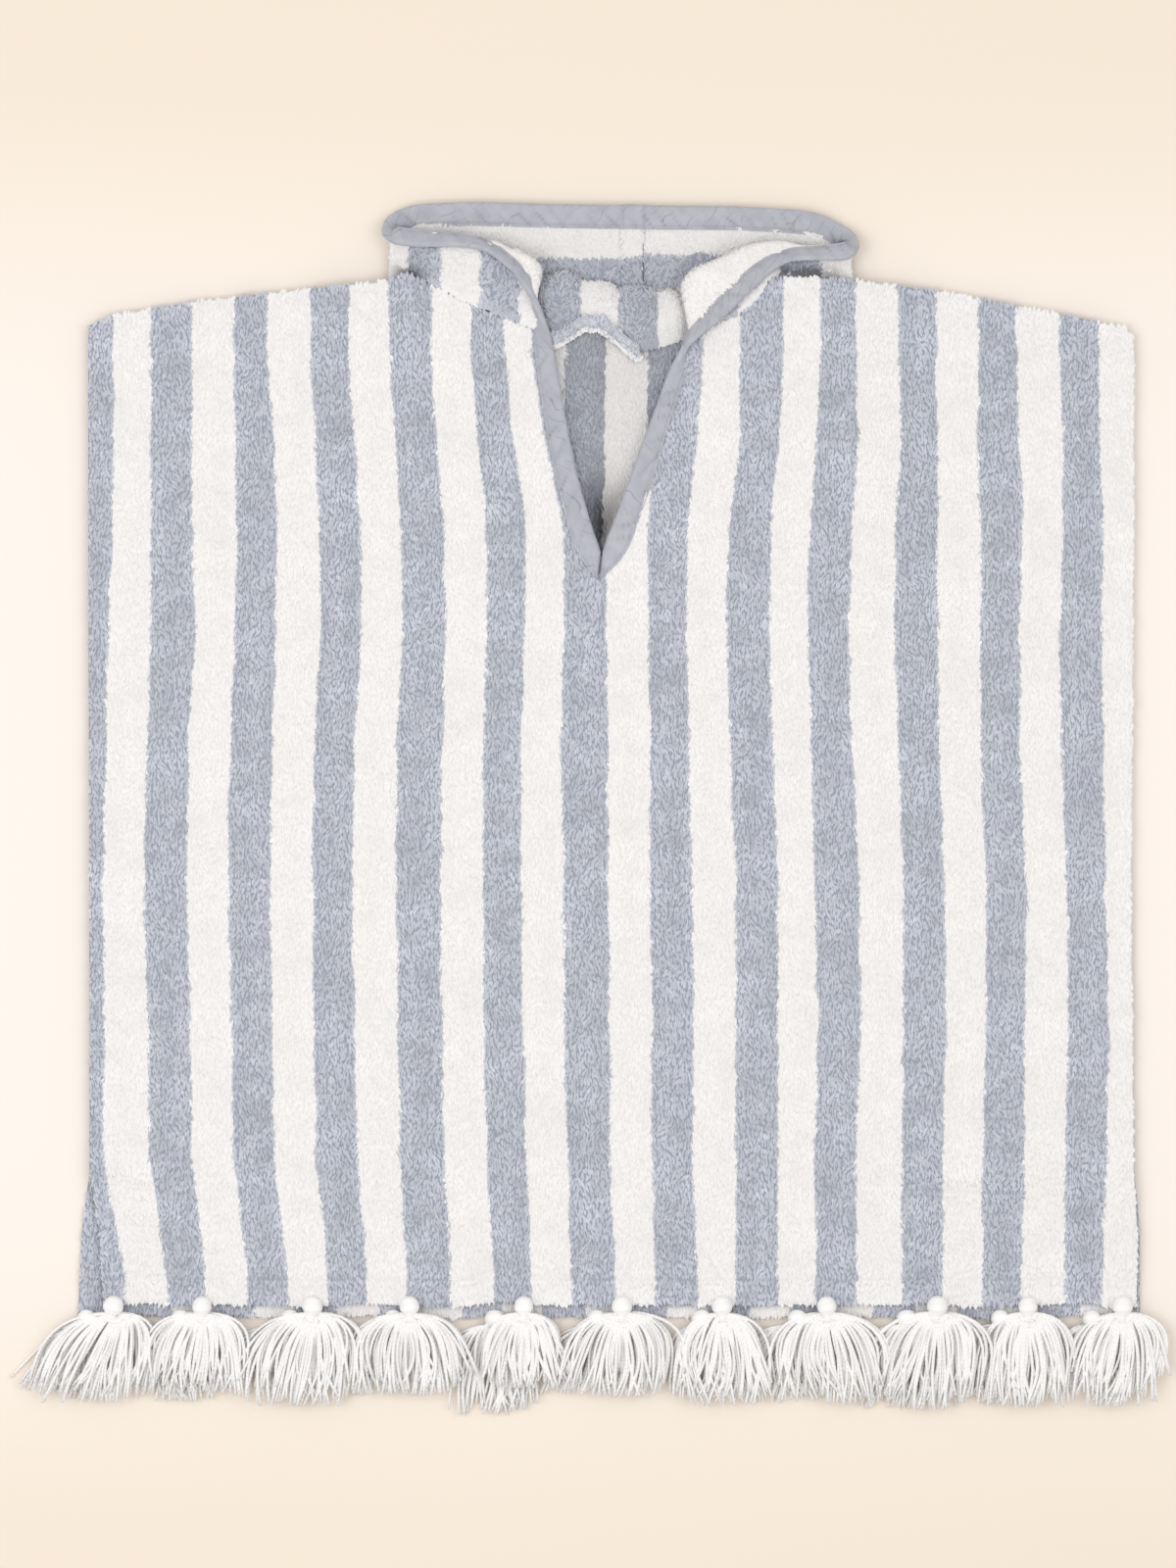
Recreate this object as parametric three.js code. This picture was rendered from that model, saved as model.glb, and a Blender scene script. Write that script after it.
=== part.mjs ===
// Hooded towelling bath cape for a toddler, laid flat on its back on a table.
// Millimetres, +Z up, +Y towards the hood, +X towards the right-hand side as it lies.
// The origin is under the middle of the whole outline, at table height.
//
// The cape is cut as a back, a front with a V neckline and a two-piece hood, all in striped
// terry towelling. A woven tape binds the V and the hood's edge in one run, and a row of yarn
// tassels hangs from each hem. The hood is thrown back: its bag lies folded under the back
// panel, its crown lies behind the neck, and its two sides stand up as a collar round the V.
import * as THREE from "three";

// Driving sizes
const terry = 3; // thickness of the towelling, pile included
const tapeThick = 1; // thickness of the binding tape, doubled over
const tapeGap = 0.7; // between the tape and the cloth it wraps
const seam = 0.3; // gap left between neighbouring pieces
const rest = 0.6; // gap between two layers that lie on each other
const tableZ = 0;
const centreX = 3; // where the V neckline comes to its point
const hoodX = 12; // the middle of the hood
const frontHemY = -280;
const backHemY = -287;
const bindingWidth = 11.5;
const innerLeg = 5; // how far the binding reaches on its hidden side
const slitY = -206; // the side seams stop here, and the slits begin
const stripe = 24; // width of one woven stripe
const crownSeamX = 25; // the seam down the middle of the hood
const crownFoot = 262; // the crown runs in under the nape as far as this
const turnRadius = 2.5; // of the fold of a turned-down hood side, to the middle of the cloth
const headRadius = 5; // of a tassel's tied head
const bandThick = 1.4; // the seam allowance turned over at the nape

const colours = { blue: 0xa3adc1, white: 0xf1efec, tape: 0xa9b1c3 };

const clamp = (t) => Math.min(1, Math.max(0, t));
const smooth = (from, to, t) => {
  const s = clamp((t - from) / (to - from));
  return s * s * (3 - 2 * s);
};
const bell = (t) => Math.exp(-t * t);
const mix = (a, b, t) => a + (b - a) * t;

// Reads column `name` of a table at `at` along column `by`, in straight steps.
function read(table, by, at, name) {
  let i = 1;
  while (i < table.length - 1 && at > table[i][by]) i++;
  const a = table[i - 1];
  const b = table[i];
  return mix(a[name], b[name], clamp((at - a[by]) / (b[by] - a[by])));
}

// Reads every named column at t from 0 to 1 down the table, on a smooth curve through its rows.
function along(table, t, names) {
  const n = table.length - 1;
  const i = Math.min(n - 1, Math.floor(t * n));
  const s = t * n - i;
  const row = (k) => table[Math.min(n, Math.max(0, k))];
  return names.map((c) => {
    const [p, a, b, q] = [row(i - 1)[c], row(i)[c], row(i + 1)[c], row(i + 2)[c]];
    const square = 2 * p - 5 * a + 4 * b - q;
    const cube = 3 * a - p - 3 * b + q;
    return 0.5 * (2 * a + (b - p) * s + square * s ** 2 + cube * s ** 3);
  });
}

// ---------------------------------------------------------------- outlines, in plan

// The sides of the two panels, from hem to shoulder. Below the slit they part.
const sides = [
  { y: backHemY, frontLeft: -281, backLeft: -293, frontRight: 309, backRight: 311 },
  { y: -240, frontLeft: -284, backLeft: -291.5, frontRight: 309.5, backRight: 311 },
  { y: slitY, frontLeft: -289, backLeft: -289.5, frontRight: 307.5, backRight: 308 },
  { y: -40, frontLeft: -289.5, backLeft: -289.5, frontRight: 306, backRight: 306 },
  { y: 150, frontLeft: -290, backLeft: -290, frontRight: 307.5, backRight: 307.5 },
  { y: 300, frontLeft: -290, backLeft: -290, frontRight: 307.5, backRight: 307.5 },
];

// The shoulder line, which both panels share. `cells` counts the columns up to the next row.
const leftShoulder = [
  { x: -290, y: 277, cells: 1 },
  { x: -275, y: 284, cells: 2 },
  { x: -228, y: 291.5, cells: 2 },
  { x: -172, y: 298, cells: 2 },
  { x: -122, y: 302.5, cells: 1 },
  { x: -107, y: 307, cells: 1 },
];
const rightShoulder = [
  { x: 100, y: 305.5, cells: 1 },
  { x: 122, y: 305, cells: 1 },
  { x: 147, y: 303.5, cells: 2 },
  { x: 197, y: 297, cells: 2 },
  { x: 253, y: 287, cells: 2 },
  { x: 303, y: 276.5, cells: 1 },
  { x: 307.5, y: 270, cells: 0 },
];

// The front's neckline: the seam to the hood, the V, and the seam on the other side.
const frontNeck = [
  { x: -94, y: 300.5, cells: 1 },
  { x: -72, y: 289.5, cells: 1 },
  { x: -47, y: 279.5, cells: 1 },
  { x: -27.2, y: 272.5, cells: 1 },
  { x: -23.6, y: 251, cells: 1 },
  { x: -18.8, y: 223, cells: 1 },
  { x: -12.7, y: 192.5, cells: 2 },
  { x: -4, y: 161.5, cells: 2 },
  { x: centreX, y: 145.6, cells: 2 },
  { x: 10.5, y: 161.5, cells: 2 },
  { x: 22, y: 192.5, cells: 1 },
  { x: 33.3, y: 223, cells: 1 },
  { x: 43.2, y: 251, cells: 1 },
  { x: 49.2, y: 266.5, cells: 1 },
  { x: 69, y: 278.5, cells: 1 },
  { x: 83, y: 284.5, cells: 1 },
  { x: 92, y: 292.5, cells: 1 },
];

// The back's neckline, from shoulder to shoulder. The nape seam is its low stretch.
const backNeck = [
  { x: -80, y: 287, cells: 2 },
  { x: -50, y: 273, cells: 1 },
  { x: -29, y: 268, cells: 1 },
  { x: -19, y: 271, cells: 2 },
  { x: -7, y: 279, cells: 1 },
  { x: 3, y: 278.5, cells: 1 },
  { x: 14, y: 270, cells: 1 },
  { x: 23, y: 262, cells: 1 },
  { x: 34, y: 264.5, cells: 1 },
  { x: 48, y: 269, cells: 1 },
  { x: 68, y: 277, cells: 2 },
];

// The tape along the V, from the V's point to the neck seam: the line of the cloth's edge, and
// the tape's own outer edge.
const leftV = [
  { x: 2.6, y: 146.5, outX: 1, outY: 133 },
  { x: -4, y: 161.5, outX: -14.4, outY: 157 },
  { x: -12.7, y: 192.5, outX: -23.2, outY: 190 },
  { x: -18.8, y: 223, outX: -29.2, outY: 221 },
  { x: -23.6, y: 251, outX: -33.7, outY: 250 },
  { x: -27.2, y: 272.3, outX: -36, outY: 274.5 },
];
const rightV = [
  { x: 3.4, y: 146.5, outX: 1.8, outY: 133 },
  { x: 10.5, y: 161.5, outX: 21, outY: 156.8 },
  { x: 22, y: 192.5, outX: 32.1, outY: 188.3 },
  { x: 33.3, y: 223, outX: 41.4, outY: 219.5 },
  { x: 43.2, y: 251, outX: 50.2, outY: 247 },
  { x: 49, y: 265.8, outX: 54.6, outY: 263 },
];

// The crown's bound edge behind the neck, from the left side to the right.
const crownEdge = [
  { x: -116, y: 338.5, cells: 2 },
  { x: -112, y: 342.5, cells: 2 },
  { x: -104, y: 345.2, cells: 2 },
  { x: -70, y: 346.6, cells: 2 },
  { x: -27, y: 345.3, cells: 2 },
  { x: 25, y: 344.5, cells: 2 },
  { x: 80, y: 344, cells: 2 },
  { x: 116, y: 342, cells: 2 },
  { x: 129, y: 339.6, cells: 2 },
  { x: 137, y: 335.6, cells: 2 },
  { x: 143, y: 331.8, cells: 2 },
];

// Each side of the hood stands up from the neck seam (foot) to a fold (roll), and turns down
// outwards like a lapel to its bound edge (rim). Rows run from the V to the hood's outer end.
const leftLapel = [
  { footX: -31.5, footY: 274, rollX: -25.8, rollY: 278, rimX: -33.6, rimY: 281.4, rise: 14.6 },
  { footX: -41, footY: 274, rollX: -29, rollY: 292, rimX: -37, rimY: 294, rise: 14.8 },
  { footX: -51, footY: 274, rollX: -29.5, rollY: 304, rimX: -46, rimY: 308, rise: 14.8 },
  { footX: -63, footY: 274, rollX: -38, rollY: 316, rimX: -57.5, rimY: 317, rise: 14.6 },
  { footX: -76, footY: 274, rollX: -56, rollY: 325.5, rimX: -71, rimY: 322.2, rise: 14.2 },
  { footX: -90, footY: 274, rollX: -80, rollY: 330.5, rimX: -90, rimY: 322.8, rise: 13.6 },
  { footX: -102, footY: 274, rollX: -100, rollY: 332.5, rimX: -105, rimY: 323.2, rise: 12.6 },
  { footX: -112, footY: 307, rollX: -113, rollY: 334, rimX: -114.5, rimY: 324.2, rise: 10.8 },
  { footX: -121, footY: 311, rollX: -120.5, rollY: 332, rimX: -122.5, rimY: 326.5, rise: 7.4 },
];
const rightLapel = [
  { footX: 52.5, footY: 262, rollX: 48.4, rollY: 272, rimX: 56.2, rimY: 267.2, rise: 14.6 },
  { footX: 61, footY: 262, rollX: 47, rollY: 287, rimX: 65, rimY: 276.8, rise: 14.8 },
  { footX: 68, footY: 262, rollX: 47.5, rollY: 297, rimX: 75, rimY: 285.6, rise: 14.8 },
  { footX: 75.5, footY: 262, rollX: 53, rollY: 306.5, rimX: 85, rimY: 295.4, rise: 14.6 },
  { footX: 83, footY: 262, rollX: 64, rollY: 313.5, rimX: 96.5, rimY: 306.6, rise: 14.2 },
  { footX: 90, footY: 262, rollX: 82, rollY: 321, rimX: 108, rimY: 314.5, rise: 13.6 },
  { footX: 100, footY: 309, rollX: 104, rollY: 326.5, rimX: 120, rimY: 315.4, rise: 12.8 },
  { footX: 122, footY: 309, rollX: 126, rollY: 326.5, rimX: 133, rimY: 315.2, rise: 11.8 },
  { footX: 138, footY: 309, rollX: 140, rollY: 327, rimX: 144, rimY: 316.4, rise: 10.4 },
  { footX: 147, footY: 311, rollX: 146.5, rollY: 326, rimX: 149, rimY: 320.5, rise: 7.6 },
];

// ---------------------------------------------------------------- heights

// The folded bag of the hood lies between the table and the back panel.
const bag = { left: -88, right: 104, foot: 184, top: 259, thick: 7 };
const bagFall = 85; // how far the back panel takes to come down to the table round the bag

// The back panel's underside.
function backUnder(x, y) {
  const across = 1 - smooth(110, 110 + bagFall, Math.abs(x - hoodX));
  const down = smooth(bag.foot - bagFall, bag.foot - 4, y);
  return tableZ + (bag.thick + rest) * across * down;
}

// The soft folds of the front: each is a ridge of this height over a run of cloth.
const folds = [
  { x: -70, y: 190, length: 95, width: 20, height: 2.6, turn: 0.1 },
  { x: 84, y: 205, length: 90, width: 18, height: 2.4, turn: -0.2 },
  { x: 150, y: 240, length: 60, width: 22, height: 1.8, turn: 0.25 },
  { x: -160, y: 235, length: 70, width: 24, height: 1.8, turn: -0.12 },
  { x: 10, y: 60, length: 110, width: 26, height: 1.8, turn: 0.03 },
  { x: 190, y: -205, length: 130, width: 16, height: 2.2, turn: 1.5 },
  { x: -215, y: -204, length: 80, width: 15, height: 1.6, turn: 1.6 },
  { x: -120, y: -60, length: 150, width: 30, height: 1.5, turn: -0.06 },
  { x: 130, y: -50, length: 140, width: 28, height: 1.6, turn: 0.05 },
];

function foldHeight(x, y) {
  let z = 0;
  for (const f of folds) {
    const dx = x - f.x;
    const dy = y - f.y;
    const run = dy * Math.cos(f.turn) - dx * Math.sin(f.turn);
    const aside = dx * Math.cos(f.turn) + dy * Math.sin(f.turn);
    z += f.height * bell(run / f.length) * bell(aside / f.width);
  }
  return z;
}

// The front panel's underside: it lies on the back, and stands off it round the V.
const neckLift = 2.8;
function frontUnder(x, y) {
  const lift = neckLift * bell((x - centreX) / 75) * smooth(80, 150, y);
  return backUnder(x, y) + terry + rest + lift + foldHeight(x, y);
}

// The crown of the hood lies on the table behind the neck, and turns up to its bound edge, less
// so towards the edge's two ends.
function crownMiddle(x, y) {
  const fromEnd = Math.min(x - crownEdge[0].x, crownEdge.at(-1).x - x);
  const lift = mix(2, 5.5, smooth(0, 18, fromEnd));
  return terry / 2 + lift * smooth(36, 0, read(crownEdge, "x", x, "y") - y);
}

// ---------------------------------------------------------------- solids

// One closed wall from a grid of pairs: pair(u, v) gives its points on the two faces.
function wall(name, colour, us, vs, pair) {
  const points = [];
  const rows = us.length;
  const columns = vs.length;
  const pairs = us.map((u) => vs.map((v) => pair(u, v)));
  for (const side of [0, 1]) {
    for (const row of pairs) {
      for (const both of row) points.push(...both[side]);
    }
  }
  const at = (i, j, side) => side * rows * columns + i * columns + j;
  const faces = [];
  const quad = (a, b, c, d) => faces.push(a, b, c, a, c, d);
  for (let i = 0; i + 1 < rows; i++) {
    for (let j = 0; j + 1 < columns; j++) {
      quad(at(i, j, 1), at(i + 1, j, 1), at(i + 1, j + 1, 1), at(i, j + 1, 1));
      quad(at(i, j, 0), at(i, j + 1, 0), at(i + 1, j + 1, 0), at(i + 1, j, 0));
    }
    quad(at(i, 0, 0), at(i + 1, 0, 0), at(i + 1, 0, 1), at(i, 0, 1));
    const last = columns - 1;
    quad(at(i, last, 1), at(i + 1, last, 1), at(i + 1, last, 0), at(i, last, 0));
  }
  for (let j = 0; j + 1 < columns; j++) {
    quad(at(0, j, 1), at(0, j + 1, 1), at(0, j + 1, 0), at(0, j, 0));
    quad(at(rows - 1, j, 0), at(rows - 1, j + 1, 0), at(rows - 1, j + 1, 1), at(rows - 1, j, 1));
  }
  const geometry = new THREE.BufferGeometry();
  geometry.setAttribute("position", new THREE.Float32BufferAttribute(points, 3));
  geometry.setIndex(volume(points, faces) < 0 ? faces.reverse() : faces);
  return finished(name, colour, geometry);
}

function volume(points, faces) {
  const corner = (k) => new THREE.Vector3().fromArray(points, 3 * k);
  let sum = 0;
  for (let i = 0; i < faces.length; i += 3) {
    sum += corner(faces[i]).dot(corner(faces[i + 1]).cross(corner(faces[i + 2])));
  }
  return sum / 6;
}

function finished(name, colour, geometry) {
  const material = new THREE.MeshStandardMaterial({ color: colour, roughness: 0.95, metalness: 0 });
  const mesh = new THREE.Mesh(geometry, material);
  mesh.name = name;
  mesh.geometry.computeVertexNormals();
  return mesh;
}

const steps = (from, to, count) => Array.from({ length: count + 1 }, (_, i) => mix(from, to, i / count));

// The columns of a panel: the x of each outline row, with its cells between.
function columnsOf(outline) {
  const xs = [];
  outline.slice(0, -1).forEach((row, i) => {
    xs.push(...steps(row.x, outline[i + 1].x, row.cells).slice(0, -1));
  });
  return [...xs, outline.at(-1).x];
}

// A surface with a thickness: moves each point of `middle(u, v)` both ways along its normal.
function thickened(middle, low, high) {
  const d = 1e-3;
  return (u, v) => {
    const here = middle(u, v);
    const normal = middle(u + d, v)
      .sub(middle(u - d, v))
      .cross(middle(u, v + d).sub(middle(u, v - d)))
      .normalize();
    return [low, high].map((h) => here.clone().addScaledVector(normal, h).toArray());
  };
}

// ---------------------------------------------------------------- the two panels

// Below `evenTo` a panel's rows are level. Above it each column shares its rows out to its top.
const evenTo = 130;
const evenRows = [0, 0.07, 0.15, 0.3, 0.48, 0.66, 0.8, 0.9, 1];
const panelRows = [...evenRows, ...steps(1, 2, 6).slice(1)];

const edgeReach = 9; // the larger, the nearer its side a shift of the side's line stays

// A panel point, in plan: v runs from the hem (0) by way of `evenTo` (1) to the outline (2).
function panelPlace(x, v, outline, hemY, left, right) {
  const top = read(outline, "x", x, "y");
  const y = v < 1 ? mix(hemY, evenTo, v) : mix(evenTo, top, v - 1);
  const edges = [read(sides, "y", y, left), read(sides, "y", y, right)];
  const share = (x - outline[0].x) / (outline.at(-1).x - outline[0].x);
  const leftShift = bell(share * edgeReach) * (edges[0] - outline[0].x);
  const rightShift = bell((1 - share) * edgeReach) * (edges[1] - outline.at(-1).x);
  return [x + leftShift + rightShift, y];
}

const frontOutline = [...leftShoulder, ...frontNeck, ...rightShoulder];
const backOutline = [...leftShoulder, ...backNeck, ...rightShoulder];

function frontPanel() {
  return wall("front_panel", colours.white, columnsOf(frontOutline), panelRows, (x, v) => {
    const [px, py] = panelPlace(x, v, frontOutline, frontHemY, "frontLeft", "frontRight");
    const z = frontUnder(px, py);
    return [[px, py, z], [px, py, z + terry]];
  });
}

function backPanel() {
  return wall("back_panel", colours.blue, columnsOf(backOutline), panelRows, (x, v) => {
    const [px, py] = panelPlace(x, v, backOutline, backHemY, "backLeft", "backRight");
    const z = backUnder(px, py);
    return [[px, py, z], [px, py, z + terry]];
  });
}

// ---------------------------------------------------------------- the hood

// The folded bag, one rounded solid under the back panel, flat underneath.
function hoodBag() {
  const halfWidth = (bag.right - bag.left) / 2;
  const round = (t) => Math.sqrt(Math.max(0, 1 - Math.min(1, Math.abs(t)) ** 4));
  return wall("hood_bag", colours.blue, steps(-1, 1, 12), steps(0, 1, 6), (u, v) => {
    const x = hoodX - 4 + halfWidth * u * mix(0.72, 1, Math.sin((Math.PI / 2) * v));
    const foot = bag.foot + 26 * u * u;
    const y = mix(foot, bag.top, v);
    const swell = round(u) * round(1 - Math.min(1, v * 3));
    return [[x, y, tableZ], [x, y, tableZ + mix(terry / 2, bag.thick, swell)]];
  });
}

// The crown's middle surface, `inward` from its edge.
function crownSurface(x, inward) {
  const y = read(crownEdge, "x", x, "y") - inward;
  return new THREE.Vector3(x, y, crownMiddle(x, y));
}

// The columns of the crown and of its tape are the edge's rows, with one more between each two.
function crownColumns(from, to) {
  const inside = columnsOf(crownEdge).filter((x) => x > from && x < to);
  return [from, ...inside, to];
}

function crown(name, from, to) {
  const rows = [0, 5, 12, 21, 36, 60, 84];
  const surface = (x, inward) => {
    const depth = read(crownEdge, "x", x, "y") - crownFoot;
    return crownSurface(x, Math.min(inward, depth));
  };
  return wall(name, colours.blue, crownColumns(from, to), rows, thickened(surface, -terry / 2, terry / 2));
}

// A lapel's middle surface: t runs along it, and v from the foot (0) to the fold (`foldStart` to
// `foldEnd`) and on to the rim (1).
const foldStart = 0.35;
const foldEnd = 0.6;
function lapelSurface(table) {
  const names = ["footX", "footY", "rollX", "rollY", "rimX", "rimY", "rise"];
  return (t, v) => {
    const [footX, lowestY, rollX, rollY, rimX, rimY, rise] = along(table, clamp(t), names);
    const footY = Math.max(lowestY, read(frontOutline, "x", footX, "y") + 1.1);
    const beyond = smooth(0.72, 0.9, t);
    const onFront = frontUnder(footX, footY) + terry / 2;
    const onCrown = crownMiddle(footX, footY) + terry + 2 * seam;
    const foot = new THREE.Vector3(footX, footY, mix(onFront, onCrown, beyond));
    const roll = new THREE.Vector3(rollX, rollY, rise);
    const clearOfFront = 1.5 * terry + tapeThick + tapeGap + seam;
    const over = Math.max(rise + 2 * turnRadius, frontUnder(rimX, rimY) + clearOfFront);
    const rim = new THREE.Vector3(rimX, rimY, mix(over, rise + 2 * turnRadius, beyond));
    if (v <= foldStart) return foot.lerp(roll, v / foldStart);
    const top = roll.clone().setZ(rise + 2 * turnRadius);
    if (v >= foldEnd) return top.lerp(rim, (v - foldEnd) / (1 - foldEnd));
    const turn = (Math.PI * (v - foldStart)) / (foldEnd - foldStart);
    const outward = roll.clone().sub(foot.add(rim).multiplyScalar(0.5)).setZ(0).normalize();
    roll.addScaledVector(outward, turnRadius * Math.sin(turn));
    return roll.setZ(rise + turnRadius * (1 - Math.cos(turn)));
  };
}

const lapelCells = 16;
const lapelRows = [0, 0.17, foldStart, 0.41, 0.475, 0.54, foldEnd, 0.75, 0.88, 1];

function lapel(name, table) {
  const faces = thickened(lapelSurface(table), -terry / 2, terry / 2);
  return wall(name, colours.white, steps(0, 1, lapelCells), lapelRows, faces);
}

// The roll where the hood leaves the nape seam and turns down into its bag.
const roll = [
  { run: 0, z: 9.1 },
  { run: 8, z: 10.6 },
  { run: 15, z: 11.2 },
  { run: 21, z: 10 },
  { run: 25, z: 7.6 },
  { run: 26, z: 5 },
];
const rollLeft = -23.5;
const rollRight = 44.5;
const bandLeft = -22;
const bandRight = 25;

function napeY(x) {
  return read(backNeck, "x", x, "y");
}

function rollMiddle(x, v) {
  const [run, z] = along(roll, clamp(v), ["run", "z"]);
  const ripple = Math.cos((2 * Math.PI * (x - rollLeft - stripe / 2)) / stripe);
  const bulge = 0.7 * ripple * Math.sin(Math.PI * clamp(v));
  return new THREE.Vector3(x, napeY(x) + 2 * seam + run, z + bulge);
}

function napeRoll() {
  const faces = thickened(rollMiddle, -terry / 2, terry / 2);
  return wall("hood_nape_roll", colours.blue, steps(rollLeft, rollRight, 18), steps(0.02, 0.98, 7), faces);
}

// The finished seam allowance at the nape, a narrow band turned over the seam.
function napeBand() {
  const top = (x, y) => {
    const v = clamp((y - napeY(x) - seam) / stripe);
    const onRoll = y > napeY(x) + seam ? rollMiddle(x, v).z + terry / 2 + 2 * seam : 0;
    return Math.max(backUnder(x, y) + terry, onRoll);
  };
  return wall("nape_band", colours.blue, steps(bandLeft, bandRight, 12), steps(0, 1, 4), (x, v) => {
    const y = napeY(x) - 4 + 9 * v;
    const z = top(x, y) + 2 * seam;
    return [[x, y, z], [x, y, z + bandThick]];
  });
}

// ---------------------------------------------------------------- the binding

// A tape folded over a cloth's edge. `surface(t, inward)` is the cloth's middle surface, with
// `inward` the distance in from the edge; `width(t)` is how far the tape's outer leg reaches.
// `facing` is 1 where the surface's normal points to the outer leg's side, or else -1.
function binding(name, ts, surface, width, facing) {
  const clear = terry / 2 + tapeGap;
  const across = [
    { share: 1, inward: 0, side: 1 },
    { share: 0.5, inward: 0, side: 1 },
    { share: 0, inward: 0, side: 1 },
    { share: 0, inward: -tapeGap, side: 0 },
    { share: 0, inward: 0, side: -1 },
    { share: 0, inward: innerLeg, side: -1 },
  ];
  return wall(name, colours.tape, ts, across, (t, c) => {
    const face = (more) => {
      const inward = c.share * width(t) + c.inward - (c.side === 0 ? more : 0);
      return thickened(surface, 0, facing * c.side * (clear + more))(t, inward)[1];
    };
    return [face(0), face(tapeThick)];
  });
}

// The V's edge lies on the front panel.
function neckBinding(name, rows, facing) {
  const place = (t) => {
    const k = clamp(t) * (rows.length - 1);
    const i = Math.min(rows.length - 2, Math.floor(k));
    const at = (column) => mix(rows[i][column], rows[i + 1][column], k - i);
    return { edge: new THREE.Vector2(at("x"), at("y")), out: new THREE.Vector2(at("outX"), at("outY")) };
  };
  const width = (t) => place(t).edge.distanceTo(place(t).out);
  const surface = (t, inward) => {
    const { edge, out } = place(t);
    const p = edge.clone().lerp(out, inward / edge.distanceTo(out));
    return new THREE.Vector3(p.x, p.y, frontUnder(p.x, p.y) + terry / 2);
  };
  return binding(name, steps(0, 1, 10), surface, width, facing);
}

function lapelBinding(name, table, facing) {
  const middle = lapelSurface(table);
  const reach = (t) => middle(t, 1).distanceTo(middle(t, foldEnd));
  const surface = (t, inward) => middle(t, 1 - (inward / reach(t)) * (1 - foldEnd));
  const width = (t) => Math.min(bindingWidth, reach(t));
  return binding(name, steps(0, 1, lapelCells), surface, width, facing);
}

function crownBinding() {
  return binding("binding_crown", columnsOf(crownEdge), crownSurface, () => bindingWidth, -1);
}

// ---------------------------------------------------------------- tassels

// Where each tassel hangs, how far its skirt leans, how wide it spreads and how long it is.
const frontTassels = [
  { x: -274, lean: -16, width: 58, length: 56 },
  { x: -224.5, lean: -5, width: 54, length: 52 },
  { x: -161, lean: -8, width: 62, length: 58 },
  { x: -106.5, lean: 1, width: 60, length: 52 },
  { x: -41, lean: -2, width: 44, length: 48 },
  { x: 15, lean: -2, width: 56, length: 53 },
  { x: 72, lean: 1, width: 50, length: 58 },
  { x: 131.5, lean: 4, width: 56, length: 57 },
  { x: 195.5, lean: -6, width: 50, length: 60 },
  { x: 246.5, lean: 1, width: 46, length: 59 },
  { x: 301, lean: -4, width: 46, length: 58 },
];
const backTassels = [
  { x: -290, lean: -8, width: 48, length: 48 },
  { x: -237, lean: -3, width: 46, length: 49 },
  { x: -174, lean: -8, width: 50, length: 46 },
  { x: -115.5, lean: -3, width: 48, length: 46 },
  { x: -58, lean: 1, width: 44, length: 57 },
  { x: 1, lean: -5, width: 48, length: 45 },
  { x: 60, lean: 4, width: 41, length: 47 },
  { x: 116, lean: -7, width: 48, length: 50 },
  { x: 177.5, lean: 2, width: 44, length: 53 },
  { x: 231, lean: 1, width: 44, length: 51 },
  { x: 283, lean: 3, width: 40, length: 45 },
];

// The outline of a hanging tassel, as shares of its reach: a round head, a neck and a skirt.
const tasselRows = [
  { down: 0.2, head: 0.62, skirt: 0 },
  { down: 0.5, head: 1, skirt: 0 },
  { down: 0.85, head: 0.62, skirt: 0 },
  { down: 1, head: 0.55, skirt: 0.02 },
  { down: 1.5, head: 0, skirt: 0.42 },
  { down: 2.9, head: 0, skirt: 0.85 },
  { down: 4.6, head: 0, skirt: 1 },
];

function tasselSolid(name, row, hemY, low, high, tieZ, headZ) {
  const diameter = 2 * headRadius;
  const reach = row.length + headRadius;
  const profile = [new THREE.Vector2(0, 0)];
  for (const r of tasselRows) {
    profile.push(new THREE.Vector2(r.head * headRadius + (r.skirt * row.width) / 2, -r.down * diameter));
  }
  profile.push(new THREE.Vector2(row.width * 0.42, -reach), new THREE.Vector2(0, -reach));
  const geometry = new THREE.LatheGeometry(profile.reverse(), 8);
  const position = geometry.getAttribute("position");
  const headY = hemY - seam;
  for (let i = 0; i < position.count; i++) {
    const down = -position.getY(i);
    const hang = smooth(0.8 * diameter, 2 * diameter, down);
    const radius = Math.hypot(position.getX(i), position.getZ(i));
    const share = radius > 0 ? position.getZ(i) / radius : 0;
    const head = mix(tieZ, headZ, smooth(0, headRadius, down));
    const middle = mix(head, (low + high) / 2, hang);
    const half = mix(Math.min(radius, Math.min(headZ - low, headRadius)), (high - low) / 2, hang);
    const thick = radius > 0 ? half * share : 0;
    const x = row.x + position.getX(i) + row.lean * smooth(0.5 * diameter, reach, down);
    position.setXYZ(i, x, headY - down, middle + thick);
  }
  return finished(name, colours.white, geometry);
}

function tassels(prefix, table, hemY, low, high, tieZ, headZ) {
  return table.map((row, i) => {
    const name = `${prefix}_${String(i + 1).padStart(2, "0")}`;
    return tasselSolid(name, row, hemY, low, high, tieZ, headZ);
  });
}

// ---------------------------------------------------------------- assembly

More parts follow.
